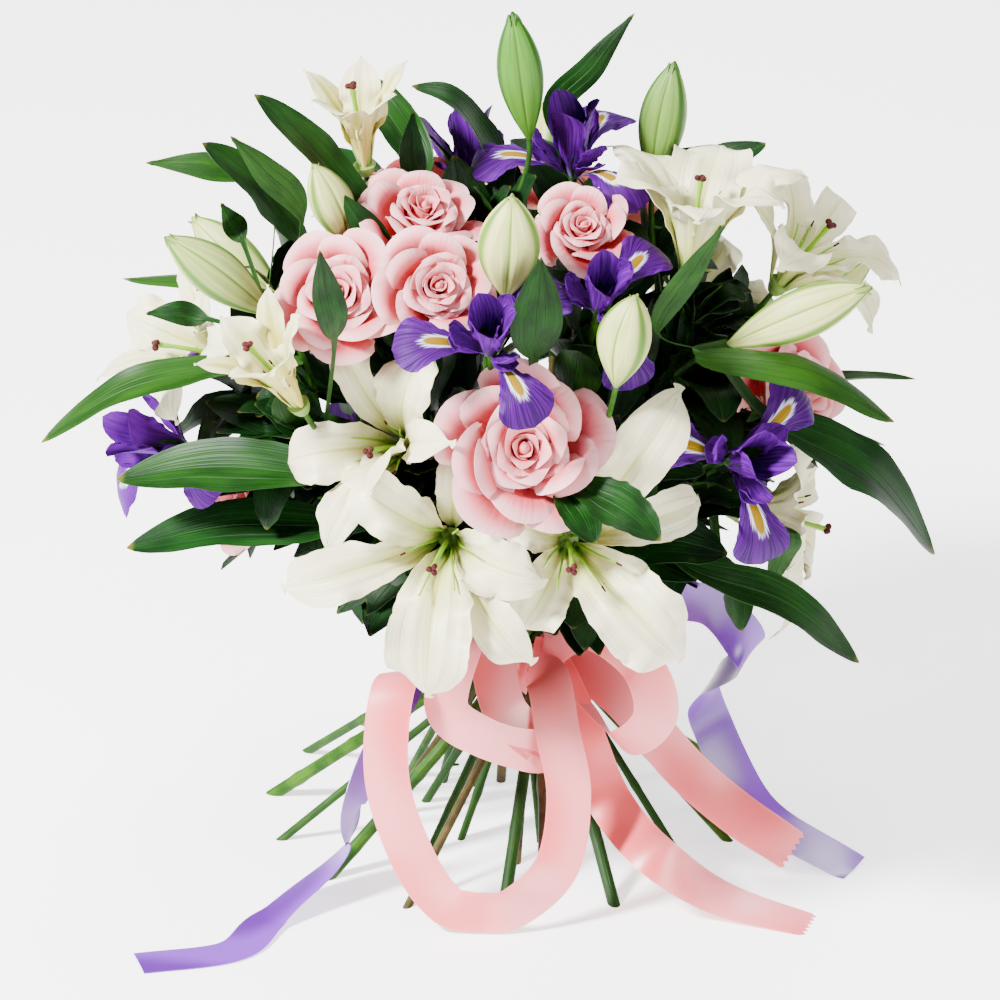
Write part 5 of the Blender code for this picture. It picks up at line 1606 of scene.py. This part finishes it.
def stigma(skin, tip, ahead, up):
    """Three short lobes at the end of a lily's style."""
    side = unit(np.cross(ahead, up))
    other = np.cross(ahead, side)
    for k in range(3):
        out = spoke(2 * math.pi * k / 3, side, other)
        lobe = np.array([tip + ahead * 0.4 + out * s for s in (-0.2, 1.0, 2.2, 3.3, 3.9)])
        skin.rod(lobe + ahead * 0.8, (0.8, 1.9, 2.1, 1.5, 0.3), "stigma", 9, squash=0.8)


def lily(bouquet, name, rng):
    """Six ruffled tepals about a style and six filaments, a few of which end in a dark stub."""
    base, axis, up, right = bouquet.flowers[name]
    _, _, length, opening, first = LILIES[name]
    is_open = opening > 0.5
    skin = Skin()
    for tag, make in blades_of(bouquet, name):
        inner = tag == "inner tepal"
        wide = (1.06 if opening > 0.72 else 1.30) - (0.0 if inner else 0.12)
        grid = pointed(broad(make(*TEPAL_GRID), wide), 2.1)
        grid = cambered(grid, 0.20, veins=0.026)
        grid = rolled(grid, 0.64, length * (0.12 if is_open else 0.05))
        grid = waved(grid, rng, 0.130 if inner else 0.085, 2.3, groove=0.095, ragged=0.012)
        green = 0.0 if is_open else (0.35 if inner else 1.0)
        skin.blade(grid, "lily", *TEPAL_THICK, rng.uniform(-20, 20), green)
    hip = [(0, 0.3), (0.3, 3.6), (3, 5.2), (0.10 * length, 6.4), (0.12 * length, 0.3)]
    skin.turned(base, axis, hip, "bud", kind=0.8)
    droop = np.array((0, 0, -1.0)) - axis * -axis[2]
    tall = length * (0.60 if is_open else 0.78)
    bend = droop * tall * 0.16 + up * rng.uniform(-2, 4) + right * rng.uniform(-4, 4)
    t = np.linspace(0, 1, 14)[:, None]
    style = base + axis * (3 + t * tall) + bend * t**2
    skin.rod(style, 1.5 + 0.5 * (t[:, 0] > 0.9) - 0.3 * t[:, 0], "filament", 10)
    stigma(skin, style[-1], unit(style[-1] - style[-2]), up)
    spread = 0.30 if is_open else 0.10
    for k in range(6):
        out = spoke(math.radians(first + 60 * k + 30 + rng.uniform(-14, 14)), up, right)
        reach = length * rng.uniform(0.44, 0.56)
        path = base + axis * (2 + t * reach * 0.92) + out * (3 + reach * spread * t**1.6)
        path = path + droop * reach * 0.10 * t**2 + out * 1.2 * np.sin(7 * t + k) * t
        skin.rod(path, np.linspace(1.0, 0.42, 14), "filament", 7)
        if rng.random() < 0.3:
            skin.rod(path[-2:] + (path[-1] - path[-2]) * 0.4, (0.7, 0.5), "stigma", 6)
    finished(skin, name)


def rose(bouquet, name, rng):
    """Outer and guard petals, then more of them wound tighter and tighter round the heart."""
    flower = bouquet.flowers[name]
    base, axis, _, _ = flower
    radius = ROSES[name][2]
    first = rose_clock(name)
    skin = Skin()
    lumps = (rng.uniform(0.03, 0.07), rng.uniform(0, 6), rng.uniform(0.015, 0.04), rng.uniform(0, 6))
    for tag, make in blades_of(bouquet, name):
        if tag == "swirl":
            continue
        outer = tag == "outer petal"
        grid = broad(make(*PETAL_GRID), 1.0, 0.32, 1.9)
        grid = waved(grid, rng, 0.045 if outer else 0.030, 1.5, ragged=0.016, side_waves=4.0)
        grid = rolled(grid, 0.70, radius * 0.15, 0.8)
        skin.blade(grid, "rose", *PETAL_THICK, rng.uniform(-20, 20), 1.0 if outer else 0.6)
    for k in range(GUARDS):
        clock = first + 36 + 72 * k + rng.uniform(-6, 6)
        sway = rng.uniform(-0.05, 0.05)
        grid = arched("rose petal", flower, clock, radius * 1.02, (60, 50, 20, 64), radius * 1.25,
                      18, 14, radius * 0.14, sway)
        grid = waved(broad(grid, 1.0, 0.32, 1.8), rng, 0.036, 1.5, ragged=0.016, side_waves=4.0)
        grid = rolled(grid, 0.72, radius * 0.14, 0.8)
        skin.blade(grid, "rose", *PETAL_THICK, rng.uniform(-20, 20), 0.75)
    heart = ((0.0, 0.04), (0.2, 0.09), (0.45, 0.105), (0.60, 0.085), (0.70, 0.045), (0.73, 0.0))
    heart = [(ROOT + radius * high, max(0.2, radius * wide)) for high, wide in heart]
    skin.turned(base, axis, heart, "rose", 20)
    count = 9 + int(radius / 5.5)
    for k in range(count):
        share = ((k + 0.5) / count) ** 0.95
        clock = first + GOLDEN * k + rng.uniform(-10, 10)
        grid = cupped(flower, radius, share, clock, lumps, rng.uniform(0.90, 1.08))
        grid = rolled(grid, 0.80, radius * (0.03 + 0.07 * share), 0.3)
        grid = waved(grid, rng, 0.008 + 0.022 * share, 1.5, ragged=0.010, side_waves=3.0)
        skin.blade(grid, "rose", 0.6, 0.32, rng.uniform(-20, 20), 0.55 * share)
    hip = [(0, 0.3), (0.1, 2.6), (2.0, 4.4)]
    hip += [(0.14 * radius, 0.24 * radius), (0.24 * radius, 0.30 * radius), (0.25 * radius, 0.3)]
    skin.turned(base, axis, hip, "stem", kind=0.0, tint=-0.5)
    for k in range(5):
        sepal = arched("leaf", flower, first + 18 + 72 * k, radius * 0.55, (70, 96, 120, 140),
                       radius * 0.17, 12, 5, radius * 0.06)
        skin.blade(sepal, "leaf", *SMALL_LEAF_THICK, rng.uniform(-1, 1), 0.5)
    finished(skin, name)


def iris(bouquet, name, rng):
    """Three falls and three standards, with a style arm and its split crest over each fall."""
    flower = bouquet.flowers[name]
    base, axis, _, _ = flower
    _, _, size, first = IRISES[name]
    skin = Skin()
    pale = 0.9 if name == "iris_left" else rng.uniform(0.0, 0.25)
    for tag, make in blades_of(bouquet, name):
        if tag == "fall":
            grid = waved(broad(make(*FALL_GRID), 1.22, 0.24), rng, 0.055, 2.4, groove=-0.03, ragged=0.012)
        else:
            grid = broad(make(*STANDARD_GRID), 1.22, 0.30)
            grid = waved(grid, rng, 0.085, 1.7, groove=0.08, ragged=0.030, side_waves=4.0)
        skin.blade(grid, tag, *IRIS_THICK, rng.uniform(-20, 20), pale)
    for k in range(3):
        clock = first + 120 * k
        arm = arched("standard", flower, clock, size * 0.46, (34, 44, 66, 40), size * 0.24,
                     14, 8, size * 0.05)
        arm = waved(arm, rng, 0.03, 2.0, groove=-0.06, ragged=0.01)
        skin.blade(arm, "standard", *ARM_THICK, rng.uniform(-20, 20), pale + 0.3)
        for way in (-1, 1):
            crest = arched("standard", flower, clock + way * 9, size * 0.62, (30, 38, 44, 4), size * 0.19,
                           14, 6, size * 0.05, way * 0.06)
            crest = waved(crest, rng, 0.10, 2.6, ragged=0.04)
            skin.blade(crest, "standard", *IRIS_THICK, rng.uniform(-20, 20), pale + 0.2)
    foot = [(0, 0.3), (0.2, 2.6), (0.06 * size, 3.6), (0.16 * size, 5.0), (0.22 * size, 0.3)]
    skin.turned(base, axis, foot, "stem", tint=-0.5)
    for k in range(2):
        sheath = arched("leaf", flower, first + 60 + 180 * k, size * 0.42, (26, 10, 6, 14), size * 0.17,
                        12, 6, 2.6)
        skin.blade(sheath, "leaf", *LEAF_THICK, rng.uniform(-1, 1), 0.8)
    finished(skin, name)


def bud(skin, root, tip, width, rng):
    """A lily bud with three ribbed lobes, parted a little at its tip."""
    reach = np.subtract(tip, root)
    length = np.linalg.norm(reach)
    power = math.log(0.5) / math.log(0.56)
    profile = [
        (length * t, max(0.25, width / 2 * abs(math.sin(math.pi * t**power)) ** 0.80))
        for t in np.linspace(0.004, 0.996, 30)
    ]

    def ribs(turn):
        wave = np.cos(3 * turn)
        seam = np.exp(-(((wave + 1) / 0.04) ** 2))
        ridge = np.exp(-(((wave - 1) / 0.05) ** 2))
        swell = 0.08 * wave - 0.05 * seam + 0.025 * ridge
        return swell, np.clip(0.5 + 0.42 * wave + 0.1 * ridge - 0.1 * seam, 0, 1)

    green = BUD_GREEN.get(tuple(tip), BACK_BUD_GREEN)
    skin.turned(np.asarray(root, float), reach, profile, "bud", 60, rng.uniform(-9, 9), green, ribs)
    axis, up, right = bloom_frame(reach)
    lip = ((0.84, 0.052), (0.90, 0.044), (0.955, 0.034), (0.992, 0.030 if green > 0.5 else 0.052))
    widths = length * np.interp(np.linspace(0, 1, 13), (0, 0.5, 1), (0.05, 0.04, 0.006))
    for k in range(3):
        out = spoke(2.094 * k, up, right)
        path = [root + axis * length * along + out * length * away for along, away in lip]
        grid = sheet_rows(smooth(path, 4), np.cross(axis, out), widths)
        skin.blade(grid, "bud", *LIP_THICK, rng.uniform(-9, 9), min(1.0, green + 0.2))


def stem_leaf(grid, rng):
    """A stem's leaf: broad and waved, or a plain lance where it is narrow or points up."""
    grid = broad(grid, 1.22)
    wide = widths_of(grid).max()
    path = grid[:, 4]
    ahead = unit(path[-1] - path[8])
    if wide >= 19 and ahead[2] <= 0.80:
        return waved(steadied(grid, 7), rng, 0.040, 1.6, groove=0.05, ragged=0.006)
    belly = np.sin(math.pi * np.linspace(0.03, 1, 25) ** 0.75)
    widths = np.concatenate([np.full(8, 1.3), np.maximum(1.3, wide / 2 * belly)])
    widths[-1] = 0.1
    return cambered(sheet_rows(path, unit(np.cross(ahead, (0.35, -1.0, 0.35))), widths), 0.16)


def stem(bouquet, node, rng):
    """A stem with swollen joints and cut foot, the stalks that fork from it, its buds and leaves."""
    skin = Skin()
    brown = 0.85 if node in BROWN_STEMS else 0.0
    tint = rng.uniform(-0.8, 0.9)
    for owner, make, radius, level in bouquet.tubes:
        if owner != node:
            continue
        path = make(20)
        if level:
            path = np.vstack([path[0] + (path[1] - path[0]) * s for s in (0, 0.34, 0.67)] + [path[1:]])
            slope = path[1] - path[0]
            path[0] = path[0] - slope * path[0][2] / slope[2] + unit(slope) * 0.4
        fine, even, _ = evenly(path, 64 if level else 26)
        knots = rng.uniform(0.06, 0.20) * even[-1] + np.arange(6) * rng.uniform(38, 55)
        swell = sum(np.exp(-(((even - knot) / 2.2) ** 2)) for knot in knots) if level else 0
        radii = radius * (1.08 - 0.14 * even / even[-1]) * (1 + 0.14 * swell)
        skin.rod(fine, radii, "stem", 14 if level else 9, tint, brown, (float(level), 0.0))
    for root, tip, width in LILY_STEMS.get(node, ((), (), ()))[2]:
        bud(skin, root, tip, width, rng)
    for _, make in blades_of(bouquet, node):
        grid = stem_leaf(make(*LEAF_GRID), rng)
        light = 0.45 if rng.random() < 0.22 else rng.uniform(0, 0.22)
        skin.blade(grid, "leaf", *LEAF_THICK, rng.uniform(-20, 20), light)
    finished(skin, node)


def inner_leaf(skin, bouquet, node, root, rng):
    """Adds a leaf that grows outwards from a stem, if one of six tries finds room."""
    for _ in range(6):
        out = unit(unit(root - INNER_MIDDLE) + rng.normal(size=3) * 0.42)
        tip = root + out * rng.uniform(38, 98)
        start = root + (tip - root) * 0.16 + rng.normal(size=3) * 2
        place = (tip - INNER_MIDDLE) / INNER_REACH
        if place @ place > 0.90 or tip[2] < INNER_FLOOR:
            continue
        size = rng.uniform(18, 36), rng.uniform(2, 14)
        trial = sheet(leaf(root, start, tip, *size, 4, 2), LEAF, 0.2)
        free = bouquet.room.is_free(node, trial)
        if free:
            bouquet.room.add(node, trial)
            grid = waved(leaf(root, start, tip, *size, 11, 4), rng, 0.03, 1.2, groove=0.05)
            skin.blade(grid, "inner leaf in painted shade", *SMALL_LEAF_THICK, rng.uniform(-20, 20), rng.uniform(0, 0.12))
        trial.free()
        if free:
            return


def fillers(bouquet, rng):
    """Leaves inside the bouquet, painted darker as shade, which darken the gaps between its blooms and
    hide its stems.
    """
    skin = Skin()
    roots = [(node, place) for node, paths in bouquet.paths.items() for path in paths
             for place in smooth(path, 5) if place[2] > INNER_FLOOR + 5]
    for _ in range(INNER_LEAVES):
        inner_leaf(skin, bouquet, *roots[rng.integers(len(roots))], rng)
    for root, tip, width in FRONT_LEAVES:
        root, tip = np.array(root, float), np.array(tip, float)
        grid = leaf(root, root + (tip - root) * 0.1, tip, width, 6, 26, 8)
        grid = waved(grid, rng, 0.05, 1.4, groove=0.06, ragged=0.02, side_waves=9.0)
        skin.blade(grid, "leaf", *SMALL_LEAF_THICK, 0.3, 0.05)
    twigs(skin, bouquet, rng)
    thing = skin.thing("filler_leaves")


def below_tie(path):
    """The points of a stem's path that lie below the tie."""
    return path[path[:, 2] < TIE_HEIGHT - TIE_HALF - 3]


def twigs(skin, bouquet, rng):
    """The fillers' own thin stalks, which pass through the tie among the stems and are cut with them."""
    taken = [below_tie(smooth(path, 8)) for paths in bouquet.paths.values() for path in paths]
    taken = [path for path in taken if len(path)]
    made = 0
    steps = np.linspace(0, 1.35, 24)[:, None]
    for _ in range(TWIG_TRIES):
        turn = rng.uniform(0, 2 * math.pi)
        foot = np.array((rng.uniform(18, 72) * math.cos(turn), rng.uniform(18, 62) * math.sin(turn), 0.0))
        turn += 2.3 + rng.uniform(-0.5, 0.5)
        inner = rng.uniform(0, TIE_RADIUS - 5)
        waist = np.array((inner * math.cos(turn), inner * math.sin(turn), TIE_HEIGHT))
        bend = rng.normal(size=3) * (2.0, 2.0, 0.0)
        path = foot + (waist - foot) * steps + bend * np.sin(3.14 * np.minimum(steps, 1.0))
        radius = rng.uniform(1.8, 3.1)
        low = below_tie(path)
        air = min(np.linalg.norm(low[:, None] - other[None], axis=2).min() for other in taken)
        if air < radius + TWIG_AIR:
            continue
        taken.append(low)
        slope = unit(path[1] - path[0])
        path[0] = path[0] + slope * 0.4
        knots = rng.choice(np.arange(3, 16), 3, False)
        swell = sum(np.exp(-(((np.arange(24) - knot) / 0.7) ** 2)) for knot in knots)
        brown = float(rng.random() < 0.35)
        skin.rod(path, radius * (1 + 0.28 * swell), "stem", 8, rng.uniform(-0.8, 0.9), brown, (1.0, 0.0))
        for knot in rng.choice(np.arange(4, 14), 2, False):
            out = unit(np.cross(slope, rng.normal(size=3)))
            stub = [path[knot] + (out + slope * 0.7) * s
                    for s in (radius * 0.3, radius + 1.2, radius + 2.4)]
            skin.rod(stub, (0.9, 0.8, 0.7), "stem", 6, 0.0, brown, (0.0, 1.0))
        made += 1
        if made == TWIGS:
            break


# Ribbons

def ribbon_solid(skin, grid, colour, rng, pinked=False):
    """A satin band about a grid, gathered in small folds where it is narrow; gives its length."""
    columns = grid.shape[1]
    wide = widths_of(grid) / RIBBON_WIDTH
    v = np.linspace(-1, 1, columns)
    folds = np.clip(1 - wide, 0, 1)[:, None] * 1.6 * np.cos(3 * math.pi * v)[None]
    bow = 0.5 * np.clip(wide, 0, 1)[:, None] * (v**2)[None]
    middle = grid[:, columns // 2]
    far = np.cumsum(np.linalg.norm(np.diff(middle, axis=0, prepend=middle[:1]), axis=1))[:, None]
    loose = 0.8 * np.sin(far / 17 + 0.8 * v[None] + rng.uniform(0, 6))
    loose += 0.4 * np.sin(far / 9 - 1.1 * v[None])
    ease = np.clip((grid[:, :, 2] - 2.5) / 12, 0, 1)
    grid = grid + normals_of(grid) * (folds + bow + loose * ease)[:, :, None]
    if pinked:
        grid[-1] += (grid[-1] - grid[-2]) * (0.9 * (np.arange(columns) % 2))[:, None]
    length = float(np.linalg.norm(np.diff(grid[:, columns // 2], axis=0), axis=1).sum())
    skin.blade(grid, colour, *RIBBON_THICK, rng.uniform(-9, 9), 0.0)
    skin.look[-1][:, 1] = length
    return length


def ribbon(bouquet, name, nodes, rng):
    """The fine piece of a ribbon's run, or of two runs that meet end to end."""
    colour = RIBBONS[nodes[0]][0]
    skin = Skin()
    grids = [make(*RIBBON_GRID) for node in nodes for _, make in blades_of(bouquet, node)]
    grid = grids[0] if len(grids) == 1 else np.concatenate([grids[0][:-1], grids[1][::-1, ::-1][1:]])
    grid = steadied(grid, 26 if "lilac" in name else 12, True)
    grid[:, :, 2] = np.maximum(grid[:, :, 2], 0.8)
    length = ribbon_solid(skin, grid, colour, rng, pinked=len(grids) == 1 and "tail" in name)
    thing = skin.thing(name, 70.0)
    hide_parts(*nodes)


TURNS = 5  # of the ribbon round the stems
TURN_RISE = 2.8  # from one turn to the next
# Across a turn: height from its middle, and how far it stands out from the tie's radius
TURN_PROFILE = ((-3.2, -0.9), (-2.4, 0.0), (0, 0.4), (2.4, 0.0), (3.2, -0.9))
TURN_LENGTH = 200.0  # of ribbon in a turn, which spaces the ribs of its satin


def tie(rng):
    """The ribbon wound round the stems in lapping turns."""
    skin = Skin()
    for k in range(TURNS):
        middle = TIE_HEIGHT - TIE_HALF + 3.4 + k * TURN_RISE
        rows = []
        for angle in np.linspace(0, 2 * math.pi, 73):
            tilt = 0.9 * math.sin(angle + k)
            pucker = 0.22 * math.sin(9 * angle + 2 * k) + 0.15 * math.sin(17 * angle + k)
            radius = TIE_RADIUS - 1.1 + 0.16 * (k % 3) + pucker
            out = np.array((math.cos(angle), math.sin(angle), 0.0))
            rows.append([out * (radius + lift) + (0, 0, middle + tilt + h) for h, lift in TURN_PROFILE])
        skin.blade(np.array(rows), "pink satin", *TURN_THICK, rng.uniform(-9, 9), 0.0)
        skin.look[-1][:, 1] = TURN_LENGTH
    thing = skin.thing("fine_tie", 70.0)
    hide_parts("tie")


# The whole

rng = np.random.default_rng(23)
bouquet = plan()
for name in LILIES:
    lily(bouquet, name, rng)
for name in ROSES:
    rose(bouquet, name, rng)
for name in IRISES:
    iris(bouquet, name, rng)
for node in dict.fromkeys(owner for owner, _, _, _ in bouquet.tubes):
    stem(bouquet, node, rng)
fillers(bouquet, rng)
ribbon(bouquet, "ribbon_long_loop", ("ribbon_loop_left", "ribbon_loop_right"), rng)
for name in RIBBONS:
    if "loop" not in name:
        ribbon(bouquet, "fine_" + name, (name,), rng)
tie(rng)


# Floor, lights and camera

TARGET = Vector((-0.00275 - MIDDLE[0] * METRES, -MIDDLE[1] * METRES, 0.1944))  # what the camera looks at
ELEVATION = math.radians(27.0)  # how far the camera looks down
DISTANCE = 15.0
FIELD = 0.560  # metres across the picture at the bouquet
SKY_LIGHT = 0.30
FLOOR_HALF = 12.0
LIT = Vector((0, 0, 0.28))  # the point that the lights shine at
# Round lights: place and diameter in metres, power in watts
LIGHTS = {
    "key": ((-1.5, -0.8, 1.75), 0.45, 290.0),
    "fill": ((1.3, -1.7, 1.0), 1.2, 44.0),
    "top": ((0.5, 1.0, 2.1), 1.0, 60.0),
}


def aimed(thing, way):
    """Turns a light or a camera to look along a way."""
    thing.rotation_euler = way.to_track_quat("-Z", "Y").to_euler()


def studio():
    """A white floor under soft light, and the camera far off with a long lens."""
    scene = bpy.context.scene
    world = bpy.data.worlds.new("studio")
    world.use_nodes = True
    background = world.node_tree.nodes["Background"]
    background.inputs["Color"].default_value = (*COLOURS["white"], 1.0)
    background.inputs["Strength"].default_value = SKY_LIGHT
    scene.world = world
    mesh = bpy.data.meshes.new("floor")
    corners = [(x * FLOOR_HALF, y * FLOOR_HALF, 0) for x, y in ((-1, -1), (1, -1), (1, 1), (-1, 1))]
    mesh.from_pydata(corners, [], [(0, 1, 2, 3)])
    f = Finish("floor", Roughness=0.7, Emission_Color="white", Emission_Strength=1.6)
    mesh.materials.append(f.colour(f.mix(f.grain(3.0), "floor shade", "floor")))
    floor = placed("floor", mesh)
    for name, (place, size, power) in LIGHTS.items():
        data = bpy.data.lights.new(name, "AREA")
        data.shape, data.size, data.energy = "DISK", size, power
        aimed(placed(name, data, place), LIT - Vector(place))
    data = bpy.data.cameras.new("camera")
    data.lens = data.sensor_width * DISTANCE / FIELD
    data.clip_end = 100.0
    away = Vector((0.0, -math.cos(ELEVATION), math.sin(ELEVATION)))
    scene.camera = placed("camera", data, TARGET + away * DISTANCE)
    aimed(scene.camera, -away)


studio()
